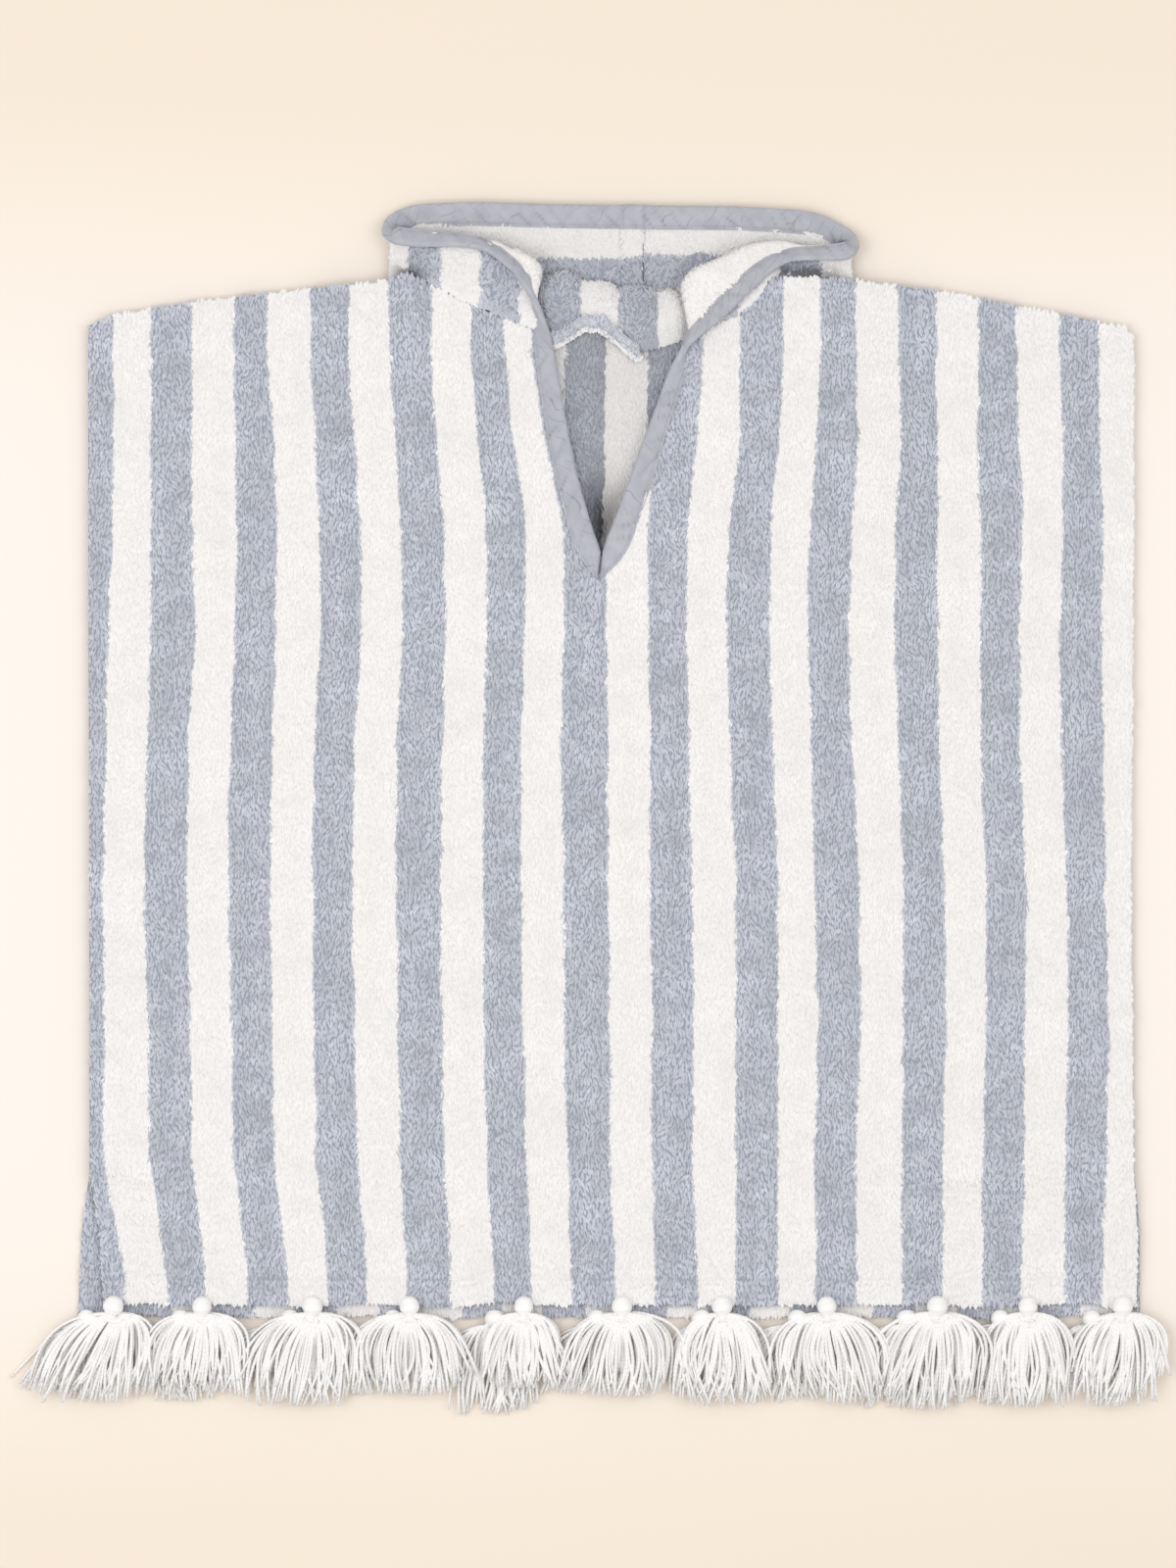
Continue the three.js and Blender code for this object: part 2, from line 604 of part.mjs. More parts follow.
const cape = new THREE.Group();
cape.add(
  backPanel(),
  frontPanel(),
  hoodBag(),
  crown("hood_crown_left", crownEdge[0].x, crownSeamX - seam / 2),
  crown("hood_crown_right", crownSeamX + seam / 2, crownEdge.at(-1).x),
  lapel("hood_side_left", leftLapel),
  lapel("hood_side_right", rightLapel),
  napeRoll(),
  napeBand(),
  neckBinding("binding_neck_left", leftV, 1),
  neckBinding("binding_neck_right", rightV, -1),
  lapelBinding("binding_hood_left", leftLapel, -1),
  lapelBinding("binding_hood_right", rightLapel, 1),
  crownBinding(),
  ...tassels("tassel_back", backTassels, backHemY, tableZ, 6.4, 3.4, 3.4),
  ...tassels("tassel_front", frontTassels, frontHemY, 7, 13.6, 5.6, 9.2),
);

// Puts the origin under the middle of the whole outline.
const reach = new THREE.Box3().setFromObject(cape);
cape.position.set(-(reach.min.x + reach.max.x) / 2, -(reach.min.y + reach.max.y) / 2, -reach.min.z);

export default cape;
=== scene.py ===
# %% [markdown]
# # A hooded towelling bath cape, laid flat
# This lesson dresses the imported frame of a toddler's bath cape. The cape is striped terry
# towelling, bound with one woven tape and hung with yarn tassels. The frame gives the true size
# and place of every piece, so the first step only loads it and keeps its box.

# %% Load the frame
import bpy
import numpy as np
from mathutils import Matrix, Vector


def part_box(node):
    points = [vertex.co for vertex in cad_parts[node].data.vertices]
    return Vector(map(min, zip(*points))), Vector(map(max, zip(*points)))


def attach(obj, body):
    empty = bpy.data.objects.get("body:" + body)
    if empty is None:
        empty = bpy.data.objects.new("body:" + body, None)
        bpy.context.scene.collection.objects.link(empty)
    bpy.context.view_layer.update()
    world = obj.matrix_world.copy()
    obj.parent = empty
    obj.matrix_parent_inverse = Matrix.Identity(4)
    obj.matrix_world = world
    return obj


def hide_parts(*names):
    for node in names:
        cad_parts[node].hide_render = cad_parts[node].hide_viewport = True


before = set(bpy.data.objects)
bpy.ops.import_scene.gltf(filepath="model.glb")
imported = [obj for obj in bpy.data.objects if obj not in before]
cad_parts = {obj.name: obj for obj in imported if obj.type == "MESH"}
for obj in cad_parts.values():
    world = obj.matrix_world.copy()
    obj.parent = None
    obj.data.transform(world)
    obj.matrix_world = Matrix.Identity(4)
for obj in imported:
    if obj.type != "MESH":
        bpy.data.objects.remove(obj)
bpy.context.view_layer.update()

# %% [markdown]
# ## Millimetres and the origin
# The cutting tables below are in millimetres, measured from the maker's own origin. The frame
# is in metres and centred, so one small move joins the two: it is read from two pieces whose
# own left end and hem are known.

# %% Where the maker's origin lies
MM = 0.001
BAND_LEFT = -22.0
FRONT_HEM = -280.0
BACK_HEM = -287.0
origin = np.array([
    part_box("nape_band")[0].x / MM - BAND_LEFT,
    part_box("front_panel")[0].y / MM - FRONT_HEM,
    0.0,
])
print("the maker's origin is moved by", origin.round(3), "mm")

# %% [markdown]
# ## Camera, table and light
# The cape is seen from straight above. A long lens high above keeps the outline free of
# perspective. The table is a cream sheet with painted shade, darker and warmer towards the top
# and bottom of the view. A wide soft window on each side and a warm room all round keep the
# shadows faint.

# %% Camera
VIEW_HEIGHT = 896.0  # how much of the table the view covers, in mm
CAMERA_UP = 4000.0
SENSOR = 36.0
VIEW_MIDDLE = (-4.5, 16.0, 5.0)
camera = bpy.data.objects.new("camera", bpy.data.cameras.new("camera"))
camera.data.sensor_width = SENSOR
camera.data.lens = SENSOR * CAMERA_UP / VIEW_HEIGHT
camera.data.clip_end = 20.0
camera.location = (np.array(VIEW_MIDDLE) + origin + [0, 0, CAMERA_UP]) * MM
bpy.context.collection.objects.link(camera)
bpy.context.scene.camera = camera
bpy.context.scene.view_settings.view_transform = "Standard"
print("the camera looks down from", round(camera.location.z, 3), "m")


# %% Lights
def soft_light(name, place, size, power, colour):
    """A square area light at `place`, turned towards the cape."""
    light = bpy.data.lights.new(name, "AREA")
    light.size, light.energy, light.color = size, power, colour
    lamp = bpy.data.objects.new(name, light)
    lamp.location = place
    lamp.rotation_euler = (-lamp.location).to_track_quat("-Z", "Y").to_euler()
    bpy.context.collection.objects.link(lamp)


soft_light("window_left", (-1.0, -0.05, 1.9), 1.5, 15.4, (1.0, 0.985, 0.975))
soft_light("window_right", (1.0, 0.15, 1.9), 1.6, 11.2, (1.0, 0.98, 0.96))
world = bpy.data.worlds.new("room")
bpy.context.scene.world = world
world.use_nodes = True
room_light = world.node_tree.nodes["Background"].inputs
room_light["Color"].default_value = (1.0, 0.985, 0.965, 1.0)
room_light["Strength"].default_value = 0.635
print("two windows and a room light")

# %% [markdown]
# ## Numbers along a table
# Each outline is a short table of points. `along` rounds such a table on a smooth curve, and
# `ripple` adds the small unevenness that no cloth is without.


# %% Small helpers for shapes
def smooth(start, end, t):
    """0 before `start`, 1 after `end`, and 3s^2 - 2s^3 between."""
    s = np.clip((np.asarray(t, float) - start) / (end - start), 0, 1)
    return s * s * (3 - 2 * s)


def bell(t):
    """exp(-t^2): one soft hump."""
    return np.exp(-np.square(t))


def mix(a, b, t):
    """a + (b - a) t."""
    return a + (b - a) * t


def along(table, t):
    """A Catmull-Rom curve through the rows of `table`, for t from 0 to 1."""
    rows = np.asarray(table, float)
    last = len(rows) - 1
    t = np.clip(t, 0, 1)
    k = np.minimum(last - 1, np.floor(t * last)).astype(int)
    s = (t * last - k)[..., None]
    p, a, b, q = (rows[np.clip(k + d, 0, last)] for d in (-1, 0, 1, 2))
    return 0.5 * (2 * a + (b - p) * s + (2 * p - 5 * a + 4 * b - q) * s**2
                  + (3 * a - p - 3 * b + q) * s**3)


def ripple(x, y, size, seed):
    """Soft noise from -1 to 1: the mean of eight sine waves of about `size` mm, turned at random."""
    rng = np.random.default_rng(seed)
    total = 0.0
    for turn, phase, stretch in rng.uniform((0, 0, 0.7), (np.pi, 2 * np.pi, 1.5), (8, 3)):
        total = total + np.sin(2 * np.pi * (x * np.cos(turn) + y * np.sin(turn))
                               / (size * stretch) + phase)
    return total / 3.4


def unit(v):
    """v divided by its length."""
    return v / np.maximum(np.linalg.norm(v, axis=-1, keepdims=True), 1e-9)


print("a ripple at the origin:", round(float(ripple(0.0, 0.0, 30.0, 1)), 3))

# %% [markdown]
# ## The cut
# The cape is cut as a back and a front that share their sides and shoulders. The front has a V,
# the back has a low nape, and the hood is sewn to both. The tables repeat the frame's outlines.

# %% Outlines of the panels
TERRY = 3.0  # the towelling with its pile
GROUND = 1.9  # the woven ground alone
REST = 0.6
SEAM = 0.3
V_POINT = 3.0
HOOD_X = 12.0
EVEN_TO = 130.0  # below this height a panel's rows are level

# y, then the sides' x: front left, back left, front right, back right
SIDES = np.array([
    (-287, -281, -296, 309, 311),
    (-240, -284, -294, 309.5, 311),
    (-206, -289, -289.5, 307.5, 308),
    (-40, -289.5, -289.5, 306, 306),
    (150, -290, -290, 307.5, 307.5),
    (300, -290, -290, 307.5, 307.5),
])
LEFT_SHOULDER = [(-290, 277), (-275, 284), (-228, 291.5), (-172, 298), (-122, 302.5), (-107, 307)]
RIGHT_SHOULDER = [
    (100, 305.5), (122, 305), (147, 303.5), (197, 297), (253, 287), (303, 276.5), (307.5, 270)]
FRONT_NECK = [
    (-94, 300.5), (-72, 289.5), (-47, 279.5), (-27.2, 272.5), (-23.6, 251), (-18.8, 223),
    (-12.7, 192.5), (-4, 161.5), (V_POINT, 145.6), (10.5, 161.5), (22, 192.5), (33.3, 223),
    (43.2, 251), (49.2, 266.5), (69, 278.5), (83, 284.5), (92, 292.5)]
BACK_NECK = [
    (-80, 287), (-50, 273), (-29, 268), (-19, 271), (-7, 279), (3, 278.5), (14, 270), (23, 262),
    (34, 264.5), (48, 269), (68, 277)]
FRONT_LINE = np.array(LEFT_SHOULDER + FRONT_NECK + RIGHT_SHOULDER, float)
BACK_LINE = np.array(LEFT_SHOULDER + BACK_NECK + RIGHT_SHOULDER, float)
NAPE_LINE = np.array(BACK_NECK, float)


def line_y(line, x):
    """The height y of an outline at x, in straight steps."""
    return np.interp(x, line[:, 0], line[:, 1])


print("the shoulders span", RIGHT_SHOULDER[-1][0] - LEFT_SHOULDER[0][0], "mm")

# %% [markdown]
# ## How the layers lie
# The hood's bag is folded under the back panel and lifts it a little. The front lies on the
# back, stands off it round the V, and falls in a few low folds. Each fold is listed: where it
# is, how long and how wide it is, how high it stands and which way it runs.

# %% Heights of the layers
BAG = {"left": -88.0, "right": 104.0, "foot": 184.0, "top": 259.0, "thick": 7.0}
BAG_FALL = 85.0  # how far out the back slopes down from the bag
V_LIFT = 2.8
# x, y, length, width, height, turn
FOLDS = [
    (-70, 190, 95, 20, 2.6, 0.1), (84, 205, 90, 18, 2.4, -0.2), (150, 240, 60, 22, 1.8, 0.25),
    (-160, 235, 70, 24, 1.8, -0.12), (10, 60, 110, 26, 1.8, 0.03), (190, -205, 130, 16, 2.2, 1.5),
    (-215, -204, 80, 15, 1.6, 1.6), (-120, -60, 150, 30, 1.5, -0.06),
    (130, -50, 140, 28, 1.6, 0.05)]
# Troughs and small puckers that only the seen cloth has.
PUCKERS = [
    (205, -216, 62, 3.2, -1.3, 1.52), (262, -213, 30, 3.0, -1.0, 1.7), (-268, -214, 16, 3.0, -1.2, 1.4),
    (-246, -222, 24, 4.0, -0.7, 1.75), (57, 246, 16, 5.5, 1.4, 0.5), (50, 226, 22, 5.0, -1.0, -0.35),
    (-62, 262, 22, 6.0, 0.9, 0.2), (-98, 280, 24, 7.0, 1.0, 0.5), (112, 282, 26, 8.0, 0.9, -0.2),
    (4, 118, 16, 3.0, -1.2, -0.1), (-282, -120, 60, 5.0, -0.7, 0.0), (298, 60, 90, 6.0, -0.8, 0.0),
    (225, 262, 40, 9.0, -0.8, 1.2), (-235, 262, 36, 9.0, -0.7, -1.3)]


def hills(table, x, y):
    """The sum of ridges: each is height * bell(run / length) * bell(aside / width)."""
    z = 0.0
    for fx, fy, length, width, height, turn in table:
        run = (y - fy) * np.cos(turn) - (x - fx) * np.sin(turn)
        aside = (x - fx) * np.cos(turn) + (y - fy) * np.sin(turn)
        z = z + height * bell(run / length) * bell(aside / width)
    return z


def back_under(x, y):
    """The back panel's underside: it climbs from the table onto the folded bag."""
    across = 1 - smooth(110, 110 + BAG_FALL, np.abs(x - HOOD_X))
    down = smooth(BAG["foot"] - BAG_FALL, BAG["foot"] - 4, y)
    return (BAG["thick"] + REST) * across * down


def front_under(x, y):
    """The front panel's underside: the back's top, a gap, the lift round the V, and the folds."""
    lift = V_LIFT * bell((x - V_POINT) / 75) * smooth(80, 150, y)
    return back_under(x, y) + TERRY + REST + lift + hills(FOLDS, x, y)


print("the front is", round(float(front_under(3.0, 146.0)), 2), "mm up at the point of the V")

# %% [markdown]
# ## From grids to meshes
# Every cloth piece here is a closed wall: two grids of points, one for each face, joined round
# the rim. Seen from Blender that is one mesh of quads. `put` fills a mesh from whole arrays;
# it also writes the piece's own flat map, in which no two faces share a place.


# %% Put arrays into a mesh
def put(name, points, faces, maps, material, attributes=None, run=None, soft=True):
    """A mesh object from points in mm, a list of face arrays and a flat map for each of them."""
    mesh = bpy.data.meshes.new(name)
    mesh.vertices.add(len(points))
    mesh.vertices.foreach_set("co", ((points + origin) * MM).astype(np.float32).ravel())
    corners = np.concatenate([f.ravel() for f in faces]).astype(np.int32)
    sizes = np.concatenate([np.full(len(f), f.shape[1]) for f in faces])
    mesh.loops.add(len(corners))
    mesh.loops.foreach_set("vertex_index", corners)
    mesh.polygons.add(len(sizes))
    mesh.polygons.foreach_set("loop_start", (np.cumsum(sizes) - sizes).astype(np.int32))
    mesh.update(calc_edges=True)
    mesh.polygons.foreach_set("use_smooth", np.full(len(sizes), soft))
    flat = np.concatenate([m.reshape(-1, 2) for m in maps]).astype(np.float32)
    mesh.uv_layers.new(name="OFBake").data.foreach_set("uv", flat.ravel())
    if run is not None:
        layer = mesh.uv_layers.new(name="run")
        layer.data.foreach_set("uv", run.astype(np.float32).ravel())
    for key, values in (attributes or {}).items():
        layer = mesh.attributes.new(key, "FLOAT", "POINT")
        layer.data.foreach_set("value", np.broadcast_to(values, len(points)).astype(np.float32))
    mesh.materials.append(material)
    piece = bpy.data.objects.new(name, mesh)
    bpy.context.collection.objects.link(piece)
    return piece


def grid_quads(n, m):
    """Corner numbers of the (n-1)(m-1) quads of an n by m grid, counted row by row."""
    i, j = np.meshgrid(np.arange(n - 1), np.arange(m - 1), indexing="ij")
    first = (i * m + j).ravel()
    return np.stack([first, first + m, first + m + 1, first + 1], 1)


def shell(name, low, high, material, attributes=None):
    """A closed wall between the grids `low` and `high`, joined round its rim.

    The flat map puts the top in its lower half, the underside in its upper half and the rim
    in a strip between them.
    """
    n, m = low.shape[:2]
    quads = grid_quads(n, m)
    i, j = np.arange(n), np.arange(m)
    ring = np.concatenate([i * m, (n - 1) * m + j[1:], (i * m + m - 1)[::-1][1:], j[::-1][1:-1]])
    after = np.roll(ring, -1)
    rim = np.stack([after, ring, ring + n * m, after + n * m], 1)
    faces = np.concatenate([quads + n * m, quads[:, ::-1], rim])
    points = np.concatenate([low.reshape(-1, 3), high.reshape(-1, 3)])
    a, b, c, d = (points[faces[:, k]] for k in range(4))
    if np.einsum("ij,ij->", a, np.cross(b, c) + np.cross(c, d)) < 0:
        faces = faces[:, ::-1]
    across, up = np.meshgrid(np.linspace(0.01, 0.99, n), np.linspace(0.01, 0.48, m), indexing="ij")
    place = np.stack([across.ravel(), up.ravel()], 1)
    share = np.linspace(0.01, 0.99, len(ring) + 1)
    rim_map = np.stack([
        np.stack([share[1:], share[:-1], share[:-1], share[1:]], 1),
        np.broadcast_to([0.485, 0.485, 0.497, 0.497], (len(ring), 4))], 2)
    maps = np.concatenate([place[quads], place[quads[:, ::-1]] + [0, 0.5], rim_map])
    if faces[0, 0] != quads[0, 0] + n * m:
        maps = maps[:, ::-1]
    numbers = {"stripe": 0.5, "shade": 1.0, **(attributes or {})}
    return put(name, points, [faces], [maps], material, numbers)


print("a grid of 3 by 4 has", len(grid_quads(3, 4)), "quads")

# %% [markdown]
# ## Finishes
# A finish is a small network of nodes. Two helpers keep it readable: `Value` lets sockets be
# added and multiplied like numbers, and `Finish.add` makes any other node. Only the parts that
# change over the cloth are nodes; a constant is set on the shader itself.


# %% Node helpers
class Value:
    """A number from a node. A sum, difference, product or quotient adds the Math node it needs."""

    def __init__(self, finish, socket):
        self.finish, self.socket = finish, socket

    def math(self, operation, *others):
        """A Math node with this number first and the others after it."""
        node = self.finish.tree.nodes.new("ShaderNodeMath")
        node.operation = operation
        for socket, value in zip(node.inputs, (self, *others)):
            self.finish.feed(socket, value)
        return Value(self.finish, node.outputs[0])

    def turned(self, operation, other):
        """The same with the operands the other way round, for 1 - mask and 1 / mask."""
        node = self.finish.tree.nodes.new("ShaderNodeMath")
        node.operation = operation
        node.inputs[0].default_value = other
        self.finish.feed(node.inputs[1], self)
        return Value(self.finish, node.outputs[0])

    def __add__(self, other):
        return self.math("ADD", other)

    def __sub__(self, other):
        return self.math("SUBTRACT", other)

    def __mul__(self, other):
        return self.math("MULTIPLY", other)

    def __truediv__(self, other):
        return self.math("DIVIDE", other)

    def __rsub__(self, other):
        return self.turned("SUBTRACT", other)

    def __rtruediv__(self, other):
        return self.turned("DIVIDE", other)

    __radd__, __rmul__ = __add__, __mul__

    def sine(self):
        """The sine of this number, in radians."""
        return self.math("SINE")


class Finish:
    """A material with one Principled shader, whose constants are given by name."""

    def __init__(self, name, **constants):
        self.material = bpy.data.materials.new(name)
        self.material.use_nodes = True
        self.tree = self.material.node_tree
        self.shader = self.tree.nodes["Principled BSDF"]
        for key, value in constants.items():
            self.shader.inputs[key.replace("_", " ")].default_value = value

    def feed(self, socket, value):
        """Links a node's number to a socket, or sets the socket to a constant."""
        if isinstance(value, Value):
            self.tree.links.new(value.socket, socket)
        else:
            socket.default_value = value

    def add(self, kind, settings=None, inputs=None, output=0):
        """A node of this kind: its settings first, then its inputs."""
        node = self.tree.nodes.new(kind)
        for key, value in (settings or {}).items():
            setattr(node, key, value)
        for key, value in (inputs or {}).items():
            self.feed(node.inputs[key], value)
        return Value(self, node.outputs[output])

    def reading(self, name):
        """A number that the piece carries on its points."""
        return self.add("ShaderNodeAttribute", {"attribute_name": name}, output="Fac")

    def place(self):
        """The point's place on the piece, in metres."""
        return self.add("ShaderNodeTexCoord", output="Object")

    def run(self):
        """Where the point lies along and across its piece, from the piece's map in mm."""
        threads = self.add("ShaderNodeUVMap", {"uv_map": "run"})
        return [self.add("ShaderNodeSeparateXYZ", inputs={0: threads}, output=k) for k in (0, 1)]

    def noise(self, place, scale, detail=2.0):
        """Soft noise from 0 to 1 with `scale` spots to the metre."""
        inputs = {"Vector": place, "Scale": scale, "Detail": detail}
        return self.add("ShaderNodeTexNoise", inputs=inputs, output="Fac")

    def ranged(self, value, low, high, start, end):
        """`value` from low..high brought to start..end, eased at both ends."""
        settings = {"interpolation_type": "SMOOTHSTEP"}
        inputs = {0: value, 1: low, 2: high, 3: start, 4: end}
        return self.add("ShaderNodeMapRange", settings, inputs)

    def blended(self, share, first, second):
        """Colour `first` where share is 0, `second` where it is 1."""
        settings = {"data_type": "RGBA", "blend_type": "MIX"}
        return self.add("ShaderNodeMix", settings, {0: share, 6: first, 7: second}, output=2)

    def toned(self, colour, tone):
        """A colour made lighter or darker by a number."""
        return self.add("ShaderNodeVectorMath", {"operation": "SCALE"}, {0: colour, "Scale": tone})

    def painted(self, colour):
        """Gives the shader its colour."""
        self.feed(self.shader.inputs["Base Color"], colour)

    def bumped(self, height, distance):
        """A relief of `height` from 0 to 1, `distance` metres deep."""
        inputs = {"Height": height, "Distance": distance, "Strength": 1.0}
        self.feed(self.shader.inputs["Normal"], self.add("ShaderNodeBump", inputs=inputs))


def colour(red, green, blue):
    """An sRGB colour from 0 to 255, as the linear light that a shader works with."""
    share = np.array([red, green, blue]) / 255
    light = np.where(share <= 0.04045, share / 12.92, ((share + 0.055) / 1.055) ** 2.4)
    return (*light.tolist(), 1.0)


print("mid grey in linear light:", np.round(colour(128, 128, 128), 3))

# %% [markdown]
# ## Striped towelling
# Yarn-dyed terry is woven in stripes about 24 mm wide, so a stripe's colour goes right through.
# Two finishes share its colours. The ground between the loops is matt and painted darker as the
# shade that falls between them; the loops themselves carry painted shade at their feet. The
# ground reads a running stripe number, white from an even number to the next odd one, and a
# number of painted shade; the loops carry their own share of blue.

# %% Terry finishes
BLUE = colour(207, 210, 220)
WHITE = colour(244, 243, 243)
# The ground's colours are painted darker than the loops' to give the shade between the loops.
BLUE_GAP_SHADED = colour(160, 167, 183)
WHITE_GAP_SHADED = colour(239, 236, 235)

ground = Finish("terry_ground", Roughness=0.96, Sheen_Weight=0.15)
spot = ground.place()
fuzz = ground.noise(spot, 700.0)
wave = (ground.reading("stripe") * float(np.pi)).sine() + (fuzz - 0.5) * 0.5
is_blue = ground.ranged(wave, -0.14, 0.14, 1.0, 0.0)
# The ground's colour is its random fuzz times its "shade" number, which is painted shade.
ground.painted(ground.toned(
    ground.blended(is_blue, WHITE_GAP_SHADED, BLUE_GAP_SHADED),
    ground.ranged(fuzz, 0.3, 0.7, 0.92, 1.03) * ground.reading("shade")))
ground.bumped(ground.noise(spot, 520.0, 3.0), 0.0008)
GROUND_FINISH = ground.material

loops = Finish("terry_loops", Roughness=0.9, Sheen_Weight=0.25)
spot = loops.place()
# The loops' colour is scaled by their "tone", which holds random patches and painted shade.
loops.painted(loops.toned(
    loops.blended(loops.reading("blue"), WHITE, BLUE), loops.reading("tone")))
loops.bumped(loops.noise(spot, 2600.0, 1.0), 0.0001)
LOOP_FINISH = loops.material
print("finishes:", GROUND_FINISH.name, LOOP_FINISH.name)

# %% [markdown]
# ## Where the stripes fall
# The cloth is not woven to a ruler: every border wanders a little, and near the shoulders the
# stripes lean in towards the V. The table holds the 25 borders at nine heights. The stripe
# number at a point is how many borders lie to its left, counted smoothly.

# %% Stripe numbers
STRIPE_ROWS = np.array([-264, -197, -118, -40, 38, 106, 162, 212, 262], float)
STRIPE_BORDERS = np.array([
    [-269, -245, -223, -199, -176, -153, -131, -108, -83, -58, -37, -14, 11, 34, 58, 80, 104, 126,
     149, 175, 198, 221, 243, 268, 289],
    [-282, -255, -231, -207, -184, -160, -136, -112, -87, -62, -40, -16, 8, 32, 55, 80, 104, 125,
     148, 175, 198, 221, 245, 268, 292],
    [-281, -256, -232, -208, -185, -161, -138, -113, -88, -64, -42, -18, 8, 32, 56, 80, 104, 127,
     151, 176, 200, 223, 245, 270, 293],
    [-282, -258, -234, -210, -186, -162, -139, -114, -89, -64, -43, -18, 7, 31, 55, 80, 104, 125,
     150, 176, 199, 223, 246, 269, 291],
    [-280, -256, -233, -209, -185, -161, -138, -114, -88, -64, -43, -20, 7, 31, 53, 77, 101, 123,
     146, 173, 196, 220, 242, 266, 290],
    [-279, -254, -229, -206, -183, -157, -134, -110, -86, -62, -41, -18, 6, 30, 52, 74, 99, 121,
     144, 171, 195, 220, 242, 265, 289],
    [-276, -254, -231, -205, -182, -158, -134, -111, -87, -62, -40, -18, 6, 30, 52, 76, 100, 122,
     146, 171, 195, 220, 244, 267, 290],
    [-276, -254, -231, -206, -184, -160, -138, -114, -91, -67, -47, -29, 2, 32, 58, 82, 104, 126,
     149, 175, 195, 218, 242, 267, 288],
    [-276, -254, -231, -207, -188, -163, -141, -118, -94, -71, -52, -37, -4, 30, 61, 82, 107, 128,
     148, 173, 194, 219, 240, 265, 287]], float)
STRIPE = 24.0
BACK_STRIPE = 23.6
BACK_START, BACK_DRIFT = 6.4, 13
BACK_WHITE_EDGE = -262  # left of this the back is white to its edge


def front_stripe(x, y):
    """The stripe number: the sum over all borders of the share of their interval left of x."""
    x = x + 0.45 * ripple(x, y, 44, 5) + 0.25 * ripple(x, y, 9, 4)
    edges = [np.interp(y, STRIPE_ROWS, column) for column in STRIPE_BORDERS.T]
    inside = sum(np.clip((x - a) / (b - a), 0, 1) for a, b in zip(edges, edges[1:]))
    return inside + np.minimum(0, x - edges[0]) / STRIPE + np.maximum(0, x - edges[-1]) / STRIPE


def back_stripe(x, y):
    """The back's stripes: even, and drifting to the left towards the hem."""
    start = BACK_START - BACK_DRIFT * (280 - y) / 570
    number = 12 + (x + 0.5 * ripple(x, y, 30, 6) - start) / BACK_STRIPE
    return np.where(x < BACK_WHITE_EDGE, 1.5, number)


def stripe_from(edges, first):
    """A stripe number that is `first` at edges[0] and grows by one at each further edge."""
    return lambda x: first + np.interp(x, edges, np.arange(len(edges)))


left_hood_stripe = stripe_from([-125, -106.4, -88.5, -66, -43.7, -20], 0)
right_hood_stripe = stripe_from([35, 58, 81, 105, 128, 152], 0)
nape_stripe = stripe_from([-30.8, -9, 13, 34.7, 58], 1)
crown_stripe = stripe_from([275, 298.6, 317.2, 342], 0)
print("stripe number at the middle:", round(float(front_stripe(np.array(0.0), np.array(0.0))), 2))

# %% [markdown]
# ## The ground of the two panels
# Each panel is one grid. Its columns run up from the hem and share out their rows under the
# outline, so the grid follows the V without being cut. Near every edge the rows crowd together
# and the wall thins on a quarter circle, which rounds the turned hems and folds.


# %% Panel grids
def fine(stops, pitch):
    """The stops, with even cells no wider than `pitch` between them."""
    parts = [np.linspace(a, b, int(np.ceil((b - a) / pitch)), endpoint=False)
             for a, b in zip(stops, stops[1:])]
    return np.concatenate(parts + [[stops[-1]]])


def crowded(values, near):
    """Adds steps close to both ends."""
    return np.unique(np.concatenate([values, values[0] + near, values[-1] - near]).round(5))


def hem_sway(x):
    """The hem is drawn down a little at its tassels and waves between them."""
    return 1.1 * ripple(x, 0 * x, 52, 9) - 1.8


def panel_grid(line, hem, left, right, pitch):
    """x and y of a panel's grid: v runs from the hem by way of EVEN_TO to the outline."""
    near = np.array([0.6, 1.4, 2.6])
    xs = crowded(fine(line[:, 0], pitch), near)
    rise = EVEN_TO - hem
    vs = np.concatenate([crowded(fine([0.0, 1.0], pitch / rise), near / rise)[:-3],
                         crowded(fine([0.0, 1.0], pitch / 160), near / 160)[3:] + 1])
    x, v = np.meshgrid(xs, np.unique(vs), indexing="ij")
    low = hem + hem_sway(x)
    y = np.where(v < 1, mix(low, EVEN_TO, v), mix(EVEN_TO, line_y(line, x), v - 1))
    share = (x - xs[0]) / (xs[-1] - xs[0])
    x = x + bell(share * 9) * (np.interp(y, SIDES[:, 0], SIDES[:, left]) - xs[0])
    return x + bell((1 - share) * 9) * (np.interp(y, SIDES[:, 0], SIDES[:, right]) - xs[-1]), y


def from_rim(x, y, z=0.0):
    """How far each grid point is from the grid's nearest edge, measured along the grid."""
    p = np.stack(np.broadcast_arrays(x, y, z), 2)
    reaches = []
    for axis in (0, 1):
        step = np.linalg.norm(np.diff(p, axis=axis), axis=2)
        run = np.insert(np.cumsum(step, axis=axis), 0, 0, axis=axis)
        reaches.append(np.minimum(run, np.take(run, [-1], axis=axis) - run))
    return np.minimum(*reaches)


def rounding(distance, radius=2.2):
    """The share of a wall's thickness left near its rim: sqrt(1 - (1 - d/r)^2)."""
    return 0.15 + 0.85 * np.sqrt(1 - (1 - np.clip(distance / radius, 0, 1)) ** 2)


HEM_STITCH = 13.0  # the row of stitches above the hem


def front_top(x, y):
    """The ground's top on the front: folds, puckers, gentle unevenness and the stitched hem."""
    z = front_under(x, y) + GROUND + 0.2 + 0.35 * ripple(x, y, 34, 11) + 0.2 * ripple(x, y, 15, 12)
    pull = bell((y - FRONT_HEM - HEM_STITCH) / 1.6) * (0.7 + 0.3 * ripple(x, y, 12, 13))
    return z + hills(PUCKERS, x, y) - 0.8 * pull


def in_opening(x, y):
    """1 well inside the V, 0 outside it."""
    left = np.interp(y, [146, 272], [2.6, -27.2])
    right = np.interp(y, [146, 266], [3.4, 49.0])
    return smooth(-6, 6, x - left) * smooth(-6, 6, right - x) * smooth(138, 160, y) * smooth(296, 280, y)


